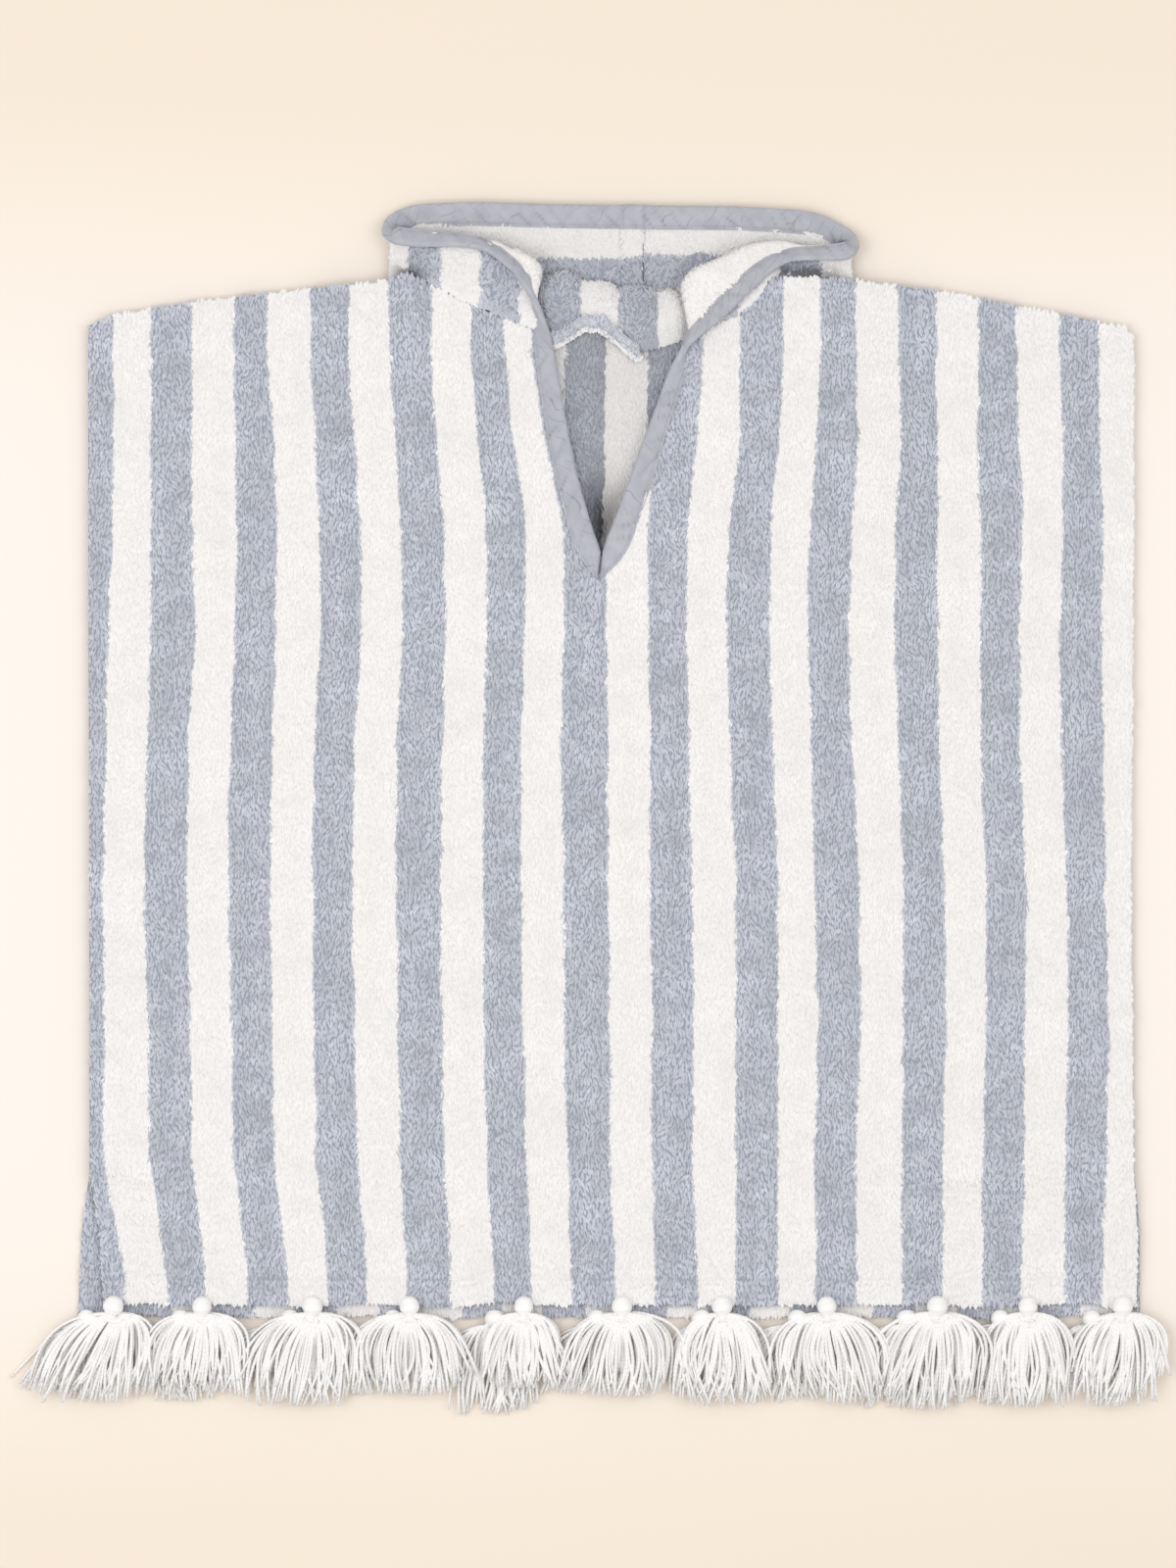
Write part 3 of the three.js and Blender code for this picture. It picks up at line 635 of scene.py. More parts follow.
def back_top(x, y):
    """The ground's top on the back: it sinks a little where the V leaves it free."""
    return back_under(x, y) + GROUND + 0.2 + 0.25 * ripple(x, y, 30, 14) - 0.9 * in_opening(x, y)


def painted_v_shade(x, y):
    """Painted shade inside the opening, darkest in the point of the V."""
    return 1 - in_opening(x, y) * (0.14 + 0.8 * smooth(204, 150, y))


def panel(name, line, hem, sides, pitch, top, under, stripe, shade):
    """A closed wall from under(x, y) to top(x, y), whose half thickness thins at the rim."""
    x, y = panel_grid(line, hem, *sides, pitch)
    low, high = under(x, y) + 0.1, top(x, y)
    middle, half = (low + high) / 2, (high - low) / 2 * rounding(from_rim(x, y))
    low, high = (np.stack([x, y, middle + sign * half], 2) for sign in (-1, 1))
    both = {"stripe": stripe(x, y), "shade": shade(x, y)}
    return shell(name, low, high, GROUND_FINISH, {k: np.tile(v.ravel(), 2) for k, v in both.items()})


def even_shade(x, y):
    """1 everywhere."""
    return 1 + 0 * x


front = panel("front_ground", FRONT_LINE, FRONT_HEM, (1, 3), 4.5, front_top, front_under,
              front_stripe, even_shade)
back = panel("back_ground", BACK_LINE, BACK_HEM, (2, 4), 6.0, back_top, back_under, back_stripe,
             painted_v_shade)
print("front and back:", len(front.data.polygons), len(back.data.polygons), "quads")

# %% [markdown]
# ## Surfaces with a thickness
# The hood's pieces bend over themselves, so a height for each x and y is not enough. Each is a
# middle surface p(u, v) instead; its two faces lie half the cloth's thickness away from it along
# the normal, which is the cross product of the two ways along the surface.


# %% Thickened surfaces
def facing(surface, u, v, step=1e-3):
    """surface(u, v)'s unit normal, the area of a unit square of (u, v), and the way along v."""
    along_u = (surface(u + step, v) - surface(u - step, v)) / (2 * step)
    along_v = (surface(u, v + step) - surface(u, v - step)) / (2 * step)
    normal = np.cross(along_u, along_v)
    return unit(normal), np.linalg.norm(normal, axis=-1), unit(along_v)


def cloth(name, surface, us, vs, thick, material, numbers, bumpy=0.25):
    """A closed wall round surface(u, v), thinned at its rim and gently uneven."""
    u, v = np.meshgrid(us, vs, indexing="ij")
    middle = surface(u, v)
    normal = facing(surface, u, v)[0]
    x, y, z = np.moveaxis(middle, 2, 0)
    uneven = bumpy * ripple(x + z, y - z, 16, 21)
    half = (thick / 2 + uneven * 0.3) * rounding(from_rim(x, y, z), thick * 0.9)
    low, high = (middle + normal * (sign * half + uneven)[..., None] for sign in (-1, 1))
    stripe = numbers(x, y, v).ravel()
    return shell(name, low, high, material, {"stripe": np.concatenate([stripe, stripe])})


# %% [markdown]
# ## The crown of the hood
# The hood is thrown back. Its crown lies on the table behind the neck, the inside up, and turns
# up to the bound edge. A seam runs down its middle, so it is two pieces; each seam edge rolls
# down into a shallow valley.

# %% Crown halves
CROWN_EDGE = np.array([
    (-116, 338.5), (-112, 342.5), (-104, 345.2), (-70, 346.6), (-27, 345.3), (25, 344.5),
    (80, 344), (116, 342), (129, 339.6), (137, 335.6), (143, 331.8)], float)
CROWN_SEAM = 27.0
CROWN_FOOT = 262.0


def crown_middle(x, y):
    """1.5 mm over the table, rising over the last 36 mm to the bound edge."""
    from_end = np.minimum(x - CROWN_EDGE[0, 0], CROWN_EDGE[-1, 0] - x)
    lift = mix(2, 5.5, smooth(0, 18, from_end))
    return TERRY / 2 + lift * smooth(36, 0, line_y(CROWN_EDGE, x) - y)


def crown_surface(x, inward):
    """The point `inward` of the crown's edge at x."""
    edge = line_y(CROWN_EDGE, x)
    y = edge - np.minimum(inward, edge - CROWN_FOOT)
    x, y = np.broadcast_arrays(x, y)
    allowance = smooth(CROWN_SEAM - 14, CROWN_SEAM - 12, x) * smooth(CROWN_SEAM + 1, CROWN_SEAM - 1, x)
    ridge = 1.1 * allowance - 0.7 * bell((x - CROWN_SEAM - 0.8) / 1.3)
    return np.stack([x, y, crown_middle(x, y) + ridge * smooth(4, 12, inward)], -1)


def crown_number(x, y, v):
    """The crown's stripes run across it; the halves meet a little out of step at the seam."""
    return crown_stripe(y + 0.8 * ripple(x, y, 20, 31) - 1.5 * (x > CROWN_SEAM))


inward_steps = np.concatenate([[0, 0.8, 1.8], np.arange(4, 80, 3.5)])
crowns = []
for side, start, end in (("left", CROWN_EDGE[0, 0], CROWN_SEAM - SEAM / 2),
                         ("right", CROWN_SEAM + SEAM / 2, CROWN_EDGE[-1, 0])):
    stops = [start, *[x for x in CROWN_EDGE[:, 0] if start < x < end], end]
    us = crowded(fine(stops, 4.0), np.array([0.7, 1.6]))
    crowns.append(cloth("crown_ground_" + side, crown_surface, us, inward_steps, GROUND,
                        GROUND_FINISH, crown_number))
print("crown halves:", [len(c.data.polygons) for c in crowns])

# %% [markdown]
# ## The hood's sides
# Each side stands up from the neck seam, folds over and turns down outwards like a lapel. Down
# the table: the foot on the seam, the fold and the rim, in plan, the height of the fold's
# underside and the fold's radius. Between foot and fold the cloth is straight, round the fold it
# is half a circle, and beyond it runs out to the rim. At the V the cloth stands on edge before it
# turns over.

# %% Lapels
# foot x, roll x, roll y, rim x, rim y, rise, radius of the fold
LEFT_LAPEL = [
    (-31.5, -30.5, 284.5, -34.5, 283.9, 14.6, 2.4), (-36, -33.4, 294.6, -36.6, 293.3, 14.8, 2.5),
    (-43, -33.2, 305.8, -40.9, 301.4, 14.8, 2.5), (-51, -39.1, 313.7, -45.5, 308.4, 14.8, 2.5),
    (-60, -52.6, 319.8, -55.4, 316.5, 14.6, 2.2), (-68, -60.8, 323.4, -61.5, 321.2, 14.4, 1.9),
    (-77, -75.3, 326.6, -75.5, 323.6, 14.2, 1.8), (-87, -87, 327.7, -87, 323.6, 13.6, 1.8),
    (-97, -99.4, 328.7, -99.6, 323.6, 12.6, 1.8), (-109, -112.3, 329.5, -113.7, 325.0, 9.8, 1.6),
    (-124, -117.6, 331.0, -118.6, 329.0, 5.6, 1.4)]
RIGHT_LAPEL = [
    (52.5, 49.2, 270.5, 54.8, 266.4, 14.6, 2.5), (60, 51.0, 283.6, 60.8, 274.3, 14.8, 2.5),
    (67, 51.5, 298.1, 68.7, 280.6, 14.8, 2.5), (75, 58.0, 306.6, 77.0, 288.0, 14.8, 2.5),
    (82, 69.0, 311.4, 84.3, 295.7, 14.6, 2.5), (91, 87.6, 319.8, 96.8, 307.6, 14.0, 2.4),
    (102, 106.1, 322.6, 108.1, 315.2, 13.4, 2.1), (116, 119.2, 320.4, 119, 316.2, 12.6, 1.8),
    (129, 130.5, 320.8, 130, 315.9, 11.6, 1.7), (141, 141.6, 321.4, 142.2, 316.2, 9.8, 1.6),
    (149, 146.0, 324.6, 147.4, 321.4, 5.8, 1.4)]
FOLD_START, FOLD_END = 0.35, 0.6
OUTSIDE_TO = 0.33  # up to this v the outside's stripes show
FOOT_GAP = 0.5  # from the neck seam to the foot
RIM_CLEAR = 2.0  # of air below the rim
HOOD_UNEVEN = 0.45
# Where each side stands on edge as it leaves the V: x, y, z of its bound edge.
TWISTS = {"left": (-35.3, 292.5, 20.5), "right": (51.6, 266.5, 20.3)}


def lapel_surface(table, twist):
    """The middle surface of a hood side: t along it, v from the foot to the rim."""
    def surface(t, v):
        t, v = np.broadcast_arrays(np.clip(t, 0, 1), np.clip(v, 0, 1))
        row = along(table, t)
        foot_x, roll_xy, rim_xy = row[..., 0], row[..., 1:3], row[..., 3:5]
        rise, turn = row[..., 5], row[..., 6:7]
        foot_y = line_y(FRONT_LINE, foot_x) + FOOT_GAP
        beyond = smooth(0.72, 0.9, t)
        foot_z = mix(front_under(foot_x, foot_y) + TERRY / 2,
                     crown_middle(foot_x, foot_y) + TERRY + 2 * SEAM, beyond)
        foot = np.stack([foot_x, foot_y, foot_z], -1)
        clear = front_under(rim_xy[..., 0], rim_xy[..., 1]) + 1.5 * TERRY + RIM_CLEAR
        rim_z = mix(np.maximum(rise + 2 * turn[..., 0], clear), rise + 2 * turn[..., 0], beyond)
        roll = np.concatenate([roll_xy, rise[..., None]], -1)
        top = roll + turn * [0, 0, 2]
        rim = np.concatenate([rim_xy, rim_z[..., None]], -1)
        angle = np.pi * np.clip((v - FOLD_START) / (FOLD_END - FOLD_START), 0, 1)[..., None]
        outward = (roll - (foot + rim) / 2) * [1, 1, 0]
        fold = roll + unit(outward) * turn * np.sin(angle)
        fold = fold + turn * (1 - np.cos(angle)) * [0, 0, 1]
        v = v[..., None]
        p = np.where(v <= FOLD_START, mix(foot, roll, v / FOLD_START), fold)
        p = np.where(v >= FOLD_END, mix(top, rim, (v - FOLD_END) / (1 - FOLD_END)), p)
        # Near the V the cloth stands on edge instead: a soft curve from foot to edge.
        edge = np.array(twist)
        knee = mix(foot, edge, 0.5) + [0, 0, -2.0]
        standing = (1 - v) ** 2 * foot + 2 * v * (1 - v) * knee + v**2 * edge
        return mix(standing, p, smooth(0.03, 0.2, t)[..., None])
    return surface


def lapel_number(number):
    """Stripes on the outside of a hood side; its inside shows a white stripe."""
    return lambda x, y, v: np.where(v < OUTSIDE_TO, number(x + 0.8 * ripple(x, y, 18, 33)), 0.5)


left_lapel = lapel_surface(LEFT_LAPEL, TWISTS["left"])
right_lapel = lapel_surface(RIGHT_LAPEL, TWISTS["right"])
across = np.concatenate([np.linspace(0, FOLD_START, 14), np.linspace(FOLD_START, FOLD_END, 12)[1:],
                         np.linspace(FOLD_END, 1, 12)[1:]])
across = crowded(across, np.array([0.012, 0.03]))
length = crowded(np.linspace(0, 0.96, 90), np.array([0.003, 0.007]))
hood_sides = {}
for side, surface, number in (("left", left_lapel, left_hood_stripe),
                              ("right", right_lapel, right_hood_stripe)):
    hood_sides[side] = cloth("hood_ground_" + side, surface, length, across, GROUND,
                             GROUND_FINISH, lapel_number(number), HOOD_UNEVEN)
print("hood sides:", [len(o.data.polygons) for o in hood_sides.values()])

# %% [markdown]
# ## The nape
# Behind the neck the hood leaves its seam in a soft roll and turns down into the bag. The roll is
# gathered, so it bulges between low furrows. A narrow band covers the seam allowance.

# %% Nape roll, nape band and folded bag
ROLL_PROFILE = [(0, 9.1), (0.31, 11.0), (0.58, 11.6), (0.81, 10.2), (0.96, 7.6), (1, 5)]
ROLL_LEFT, ROLL_RIGHT = -32.0, 55.0
# Where the roll turns down behind, and how high it bulges: x, y, bulge
ROLL_BACK = np.array([
    (-32, 303, 0.2), (-25, 307.5, 1.1), (-18, 308.5, 1.5), (-12, 306, 0.5), (-9, 303, -1.2),
    (-4, 302.5, 0.3), (2, 302.5, 0.7), (8, 301.5, 0.3), (13, 298, -1.4), (18, 299.5, 0.5),
    (24, 300, 1.3), (30, 299, 0.8), (35, 295.5, -1.2), (40, 298, 0.6), (46, 296, 0.0), (55, 290, -2.0)])


def roll_surface(x, v):
    """The roll: from the nape line back to ROLL_BACK on a rounded profile, bulging in gathers."""
    x, v = np.broadcast_arrays(x, np.clip(v, 0, 1))
    share, z = np.moveaxis(along(ROLL_PROFILE, v), -1, 0)
    back_y, bulge = (np.interp(x, ROLL_BACK[:, 0], column) for column in ROLL_BACK.T[1:])
    y = mix(line_y(NAPE_LINE, x) + 2 * SEAM, back_y, share)
    ends = 2.5 * (smooth(-26, -33, x) + smooth(46, 56, x))
    return np.stack([x, y, z + 1.1 * bulge * np.sin(np.pi * v) - ends + 0.3], -1)


roll_stripes = lambda x, y, v: nape_stripe(x + 0.8 * ripple(x, y, 14, 42))
nape_roll = cloth("nape_roll_ground", roll_surface, crowded(np.linspace(ROLL_LEFT, ROLL_RIGHT, 70),
                  np.array([0.5])), crowded(np.linspace(0.02, 0.98, 22), np.array([0.01])), GROUND,
                  GROUND_FINISH, roll_stripes)

band_finish = Finish("nape_band", Roughness=0.9, Sheen_Weight=0.3)
weave = band_finish.noise(band_finish.place(), 900.0, 3.0)
band_finish.painted(band_finish.blended(
    band_finish.ranged(weave, 0.35, 0.65, 0.0, 1.0), colour(192, 196, 206), colour(206, 209, 217)))
band_finish.bumped(weave, 0.0005)


BAND_BELOW, BAND_WIDE, BAND_PUFF = 4.3, 9, 1.5


def band_surface(x, v):
    """The nape band: a strip along the nape, puffed up between its edges."""
    x, v = np.broadcast_arrays(x, np.clip(v, 0, 1))
    y = line_y(NAPE_LINE, x) - BAND_BELOW + BAND_WIDE * v
    flat = back_under(x, y) + TERRY + 0.6
    return np.stack([x, y, flat + BAND_PUFF * np.sin(np.pi * v) + 0.9 * v], -1)


nape_band = cloth("nape_band_cloth", band_surface, np.linspace(-26, 25, 64), crowded(
    np.linspace(0, 1, 12), np.array([0.05])), 1.1, band_finish.material, lambda x, y, v: 0 * x, 0.15)


def bag_points(top):
    """The folded bag's faces: flat below, a rounded pillow above."""
    u, v = np.meshgrid(np.linspace(-1, 1, 60), np.linspace(0, 1, 30), indexing="ij")
    x = HOOD_X - 4 + (BAG["right"] - BAG["left"]) / 2 * u * mix(0.72, 1, np.sin(np.pi / 2 * v))
    y = mix(BAG["foot"] + 26 * u * u, BAG["top"], v)
    quarter = lambda t: np.sqrt(np.maximum(0, 1 - np.clip(np.abs(t), 0, 1) ** 4))
    swell = quarter(u) * quarter(1 - np.minimum(1, v * 3))
    z = 0 * x + 0.1 if not top else mix(TERRY / 2, BAG["thick"], swell) + 0.15 * ripple(x, y, 18, 43)
    return np.stack([x, y, z], 2)


bag_low, bag_high = bag_points(False), bag_points(True)
bag_numbers = left_hood_stripe(bag_low[..., 0]).ravel() + 1
bag = shell("hood_bag_cloth", bag_low, bag_high, GROUND_FINISH,
            {"stripe": np.concatenate([bag_numbers, bag_numbers])})
print("nape roll, band and bag are in place")

# %% [markdown]
# ## One binding for the whole opening
# A tape cut on the bias is folded over the raw edge and stitched through. It starts at the
# point of the V, climbs its left side, twists over where the hood turns outwards, runs round the
# hood and comes down the right side. The path is a row of stations. Each has a point on the
# cloth's edge, the way in which the tape's legs reach over the cloth, and how far they reach.

# %% The path of the tape
# edge x, y, then the tape's outer line x, y
LEFT_V = np.array([(2.6, 146.5, 1, 133), (-4, 161.5, -14.4, 157), (-12.7, 192.5, -23.2, 190),
                   (-18.8, 223, -29.2, 221), (-23.6, 251, -33.7, 250), (-27.2, 272.3, -36, 274.5)])
RIGHT_V = np.array([(3.4, 146.5, 1.8, 133), (10.5, 161.5, 21, 156.8), (22, 192.5, 32.1, 188.3),
                    (33.3, 223, 41.4, 219.5), (43.2, 251, 50.2, 247)])
TAPE_WIDE = 10.8
PATH_STEP, PATH_SOFT = 1.7, 5.5


def v_stations(rows):
    """Stations on the front panel: points on its edge, legs towards the outer line."""
    edge = np.column_stack([rows[:, :2], front_under(rows[:, 0], rows[:, 1]) + TERRY / 2])
    out = np.column_stack([rows[:, 2:], front_under(rows[:, 2], rows[:, 3]) + TERRY / 2])
    return np.column_stack([edge, unit(out - edge), np.linalg.norm(out - edge, axis=1)])


def lapel_stations(surface, ts, wide):
    """Stations on a hood side: points on its rim, legs back towards its fold."""
    rim, fold = surface(ts, 0 * ts + 1), surface(ts, 0 * ts + FOLD_END)
    return np.column_stack([rim, unit(fold - rim), wide])


crown_x = CROWN_EDGE[1:-1, 0]
edge, inner = crown_surface(crown_x, 0 * crown_x), crown_surface(crown_x, 0 * crown_x + TAPE_WIDE)
crown_stations = np.column_stack([edge, unit(inner - edge), 0 * crown_x + TAPE_WIDE + 0.8])
left_ts = np.array([0.2, 0.3, 0.4, 0.5, 0.6, 0.7, 0.8, 0.9])
right_ts = np.array([0.9, 0.8, 0.7, 0.6, 0.5, 0.4, 0.3, 0.2, 0.13])
stations = np.concatenate([
    v_stations(LEFT_V),
    [(*TWISTS["left"], 0.05, 0.1, -1, 7)],
    lapel_stations(left_lapel, left_ts, [5.0, 4.8, 4.8, 5.0, 6.4, 7.5, 8.4, 8.5]),
    [(-117.6, 326.8, 12.4, 0.4, 0.9, 0, 8.4), (-121.2, 330, 10.2, 0.95, 0.3, -0.1, 8),
     (-120.8, 335, 7.6, 0.9, -0.4, -0.1, 8), (-117, 340, 5.9, 0.5, -0.85, -0.1, 9.6)],
    crown_stations,
    [(142.5, 332.4, 5.8, -0.5, -0.85, -0.1, 9.6), (147.6, 329, 8, -0.9, -0.4, 0, 8),
     (149.4, 324, 10.6, -1, 0.15, 0, 8), (147.6, 318.2, 12.8, -0.5, 0.85, 0, 8.6)],
    lapel_stations(right_lapel, right_ts, [8.6, 7.4, 6.2, 5.8, 7.6, 8.7, 8.5, 8.0, 7.6]),
    [(*TWISTS["right"], -0.1, 0.1, -1, 8)],
    v_stations(RIGHT_V)[::-1]])


def even_path(rows, step, soft):
    """The rows at even steps of path length, softened by a bell `soft` mm wide, ends kept."""
    run = np.insert(np.cumsum(np.linalg.norm(np.diff(rows[:, :3], axis=0), axis=1)), 0, 0)
    at = np.linspace(0, run[-1], int(run[-1] / step))
    table = np.column_stack([np.interp(at, run, column) for column in rows.T])
    reach = int(2.5 * soft / step)
    weights = bell(np.arange(-reach, reach + 1) * step / soft)
    before = 2 * table[0] - table[reach:0:-1]
    after = 2 * table[-1] - table[-2:-reach - 2:-1]
    padded = np.concatenate([before, table, after])
    return np.column_stack([np.convolve(c, weights / weights.sum(), "valid") for c in padded.T]), at


path, path_run = even_path(stations, PATH_STEP, PATH_SOFT)
print("the tape is", round(path_run[-1]), "mm long, at", len(path), "stations")

# %% [markdown]
# ## The tape itself
# A profile is carried along the path: out along the upper leg, round the edge and back along the
# lower leg. The tape is cut on the bias, so where it bends it throws small slanting wrinkles; a
# row of stitches near its inner edge pulls a groove. On the crown its two ends overlap, and it
# stands a little higher there.

# %% Sweep the tape
TAPE_THICK = 0.9
TAPE_CLEAR = 1.5  # from the middle of the cloth to the middle of the tape
CREASE = 10.5  # from one crease to the next
STITCH_IN = 1.7  # from the tape's inner edge to the stitches
STITCH = 2.6
JOIN_LEFT, JOIN_RIGHT, ABOVE_HOOD = 15, 28, 335


def tape_profile(count):
    """A U: the share of the reach, mm inward of the edge, the side from 1 to -1, the ways out."""
    leg = np.linspace(1, 0, count)
    turn = np.linspace(0, np.pi, 11)[1:-1]
    share = np.concatenate([leg, 0 * turn, leg[::-1]])
    inward = np.concatenate([0 * leg, -TAPE_CLEAR * np.sin(turn), 0 * leg])
    side = np.concatenate([0 * leg + 1, np.cos(turn), 0 * leg - 1])
    ways = np.stack([np.where(np.abs(side) < 1, inward / TAPE_CLEAR, 0), side], 1)
    return share, inward, side, ways


share, inward, side, ways = tape_profile(16)
edges, legs, reach = path[:, :3], unit(path[:, 3:6]), path[:, 6]
onward = unit(np.gradient(edges, axis=0))
off_cloth = unit(np.cross(onward, legs))
run = path_run[:, None]
bend = np.linalg.norm(np.gradient(onward, axis=0), axis=1)[:, None]
into = share[None, :] * reach[:, None] + inward
slant = run + 0.9 * into * side
creases = bell(np.sin(np.pi * slant / CREASE + 1.6 * ripple(run, 0 * run, 60, 51)) / 0.24)
deep = np.clip(0.55 + 0.6 * ripple(run, into, 24, 52) + 0.5 * smooth(0.02, 0.1, bend), 0, 1)
creases = creases * deep * (0.35 + 0.65 * smooth(0.15, 0.6, share[None, :]))
puff = 0.22 * np.sin(np.pi * np.clip(share, 0, 1)) - 0.65 * creases + 0.08 * ripple(run, into, 7, 53)
edge_x, on_crown = edges[:, :1], edges[:, 1:2] > ABOVE_HOOD
over_join = smooth(JOIN_LEFT - 1, JOIN_LEFT + 1, edge_x) * smooth(JOIN_RIGHT + 1, JOIN_RIGHT - 1, edge_x)
puff = puff + 0.5 * over_join * on_crown
from_stitch = share[None, :] * reach[:, None] - (reach[:, None] - STITCH_IN)
stitch = 0.38 * bell(from_stitch / 0.7)
stitch = stitch * (0.75 + 0.25 * np.sin(2 * np.pi * run / STITCH))
press = 0.55 * smooth(0.72, 1, share)
height = TAPE_CLEAR * np.abs(side) + (puff - stitch - press) * np.abs(side)


def tape_face(more):
    """One face of the tape, `more` mm outside its middle line."""
    out = (height + more) * side
    round_in = -np.abs(ways[:, 0]) * (more + puff)
    return (edges[:, None] + legs[:, None] * (into + round_in)[..., None]
            + off_cloth[:, None] * out[..., None])


THREAD = 0.62  # from one thread of the weave to the next
tape_finish = Finish("binding_tape", Roughness=0.82, Sheen_Weight=0.2)
lengthways, sideways = tape_finish.run()
bias = float(2 * np.pi / THREAD)
over = ((lengthways + sideways) * bias).sine() * ((lengthways - sideways) * bias).sine()
patches = tape_finish.noise(tape_finish.place(), 130.0, 3.0)
wander = tape_finish.noise(tape_finish.place(), 30.0)
# Painted shade: the tape is darkened along slanting wrinkle lines, in its creases, along its stitches and at
# its join.
wave = ((lengthways + sideways * 0.9) * float(np.pi / 9.0) + wander * 16.0).sine()
wrinkle = tape_finish.ranged(wave * wave, 0.0, 0.035, 1.0, 0.0)
wrinkle = wrinkle * tape_finish.ranged(tape_finish.noise(tape_finish.place(), 70.0), 0.45, 0.6, 0.0, 1.0)
painted_crease_shade = tape_finish.reading("fold") + wrinkle * 0.75
tone = tape_finish.ranged(patches, 0.3, 0.7, 0.95, 1.05) + over * 0.03 - painted_crease_shade * 0.3
tape_finish.painted(tape_finish.toned(
    tape_finish.blended(patches, colour(186, 189, 200), colour(193, 195, 205)), tone))
tape_finish.bumped(over * 0.5 + 0.5, 0.00012)

# Where the tape gets painted shade: its creases, its stitch groove and its join.
stitched = 0.35 * bell(from_stitch / 0.6)
joined = 0.7 * (bell((edge_x - JOIN_LEFT) / 0.8) + bell((edge_x - JOIN_RIGHT) / 0.8)) * on_crown
grooves = np.minimum(1, creases + stitched + joined).ravel()
tape = shell("binding_tape", tape_face(-TAPE_THICK / 2), tape_face(TAPE_THICK / 2),
             tape_finish.material, {"fold": np.concatenate([grooves, grooves])})


def run_map(piece, n, m, lengths, breadths):
    """A second flat map in mm along and across a shell, for a weave that follows it."""
    corner = np.empty(len(piece.data.loops), np.int32)
    piece.data.loops.foreach_get("vertex_index", corner)
    corner = corner % (n * m)
    flat = np.stack([lengths.ravel()[corner], breadths.ravel()[corner]], 1)
    piece.data.uv_layers.new(name="run").data.foreach_set("uv", flat.astype(np.float32).ravel())
    piece.data.uv_layers.active_index = 0


n, m = into.shape
breadth = np.broadcast_to(np.insert(np.cumsum(np.hypot(np.diff(share * TAPE_WIDE + inward),
                          np.diff(side * TAPE_CLEAR))), 0, 0), (n, m))
run_map(tape, n, m, np.broadcast_to(run, (n, m)), breadth)
print("the tape has", len(tape.data.polygons), "quads")

# %% [markdown]
# ## The loops of the terry
# Terry is covered with short loops of yarn that lie over in soft swirls. Modelled one by one
# they would be far too many faces, so each tuft of loops is one small closed wedge of four
# triangles: a ridge along the lie of the pile and a keel sunk in the ground. A hundred thousand
# of them are worked out at once as arrays and joined.

# %% Tufts
TUFT_FACES = np.array([(0, 2, 1), (1, 3, 0), (0, 3, 2), (1, 2, 3)])
TUFT_MAP = np.array([(1, 0.5), (0, 0.5), (0.5, 1), (0.5, 0)])


def tufts(name, feet, ups, lies, sizes, blue, tone):
    """Small wedges at `feet`, standing along `ups` and lying along `lies`.

    sizes holds each tuft's length, width and height. A wedge has a ridge along its length, which
    leans with the nap, and a keel across it, which is sunk into the ground.
    """
    count = len(feet)
    long, wide, high = (s[:, None] for s in sizes.T)
    aside = np.cross(ups, lies)
    keel = feet - ups * (0.1 + high * 0.35)
    points = np.stack([feet + ups * high + lies * long * 0.6, feet + ups * high * 0.55 - lies * long * 0.4,
                       keel + aside * wide / 2, keel - aside * wide / 2], 1).reshape(-1, 3)
    faces = (np.arange(count)[:, None, None] * 4 + TUFT_FACES).reshape(-1, 3)
    cells = int(np.ceil(np.sqrt(count)))
    corner = np.stack(np.divmod(np.arange(count), cells), 1) / cells
    upper = TUFT_MAP[TUFT_FACES[:2]] * [0.6, 0.92] + [0.02, 0.04]
    lower = TUFT_MAP[TUFT_FACES[2:]] * [0.3, 0.92] + [0.68, 0.04]
    flat = corner[:, None, None] + np.concatenate([upper, lower]) / cells
    # Painted light and shade on each tuft: its keel corners are darker, as in shade, and its ridge's front
    # is a little lighter.
    shade = tone[:, None] * np.array([1.03, 0.98, 0.9, 0.9])
    return put(name, points, [faces], [flat], LOOP_FINISH,
               {"blue": np.repeat(blue, 4), "tone": shade.ravel()}, soft=False)


# length, width, height
BLUE_TUFT = [3.7, 1.9, 0.85]
WHITE_TUFT = [3.6, 2.3, 0.42]


def tuft_sizes(blue, rng):
    """Blue tufts stand up and show their gaps; the bleached white ones lie lower and wider."""
    spread = rng.uniform(0.8, 1.25, (len(blue), 3))
    return np.where(blue[:, None] > 0.5, BLUE_TUFT, WHITE_TUFT) * spread


def coloured(number, rng):
    """1 on blue and 0 on white for a stripe number, with a border that a few tufts cross."""
    return (np.sin(np.pi * number) + rng.normal(0, 0.05, len(number)) < 0).astype(float)


def toned(x, y, blue, rng):
    """Light and dark patches of the nap, stronger on blue, and a little of each tuft's own."""
    patch = 0.045 * ripple(x, y, 17, 61) + 0.035 * ripple(x, y, 60, 62) + rng.normal(0, 0.05, len(x))
    return 1 + patch * np.where(blue > 0.5, 1.25, 0.35)


def sown(box, pitch, rng):
    """x and y of a jittered brick pattern over the box (x0, x1, y0, y1)."""
    xs, ys = np.arange(box[0], box[1], pitch[0]), np.arange(box[2], box[3], pitch[1])
    x, y = np.meshgrid(xs, ys, indexing="ij")
    y = y + (np.arange(len(xs))[:, None] % 2) * pitch[1] / 2
    x, y = x.ravel(), y.ravel()
    return x + rng.uniform(-0.6, 0.6, len(x)) * pitch[0], y + rng.uniform(-0.45, 0.45, len(x)) * pitch[1]


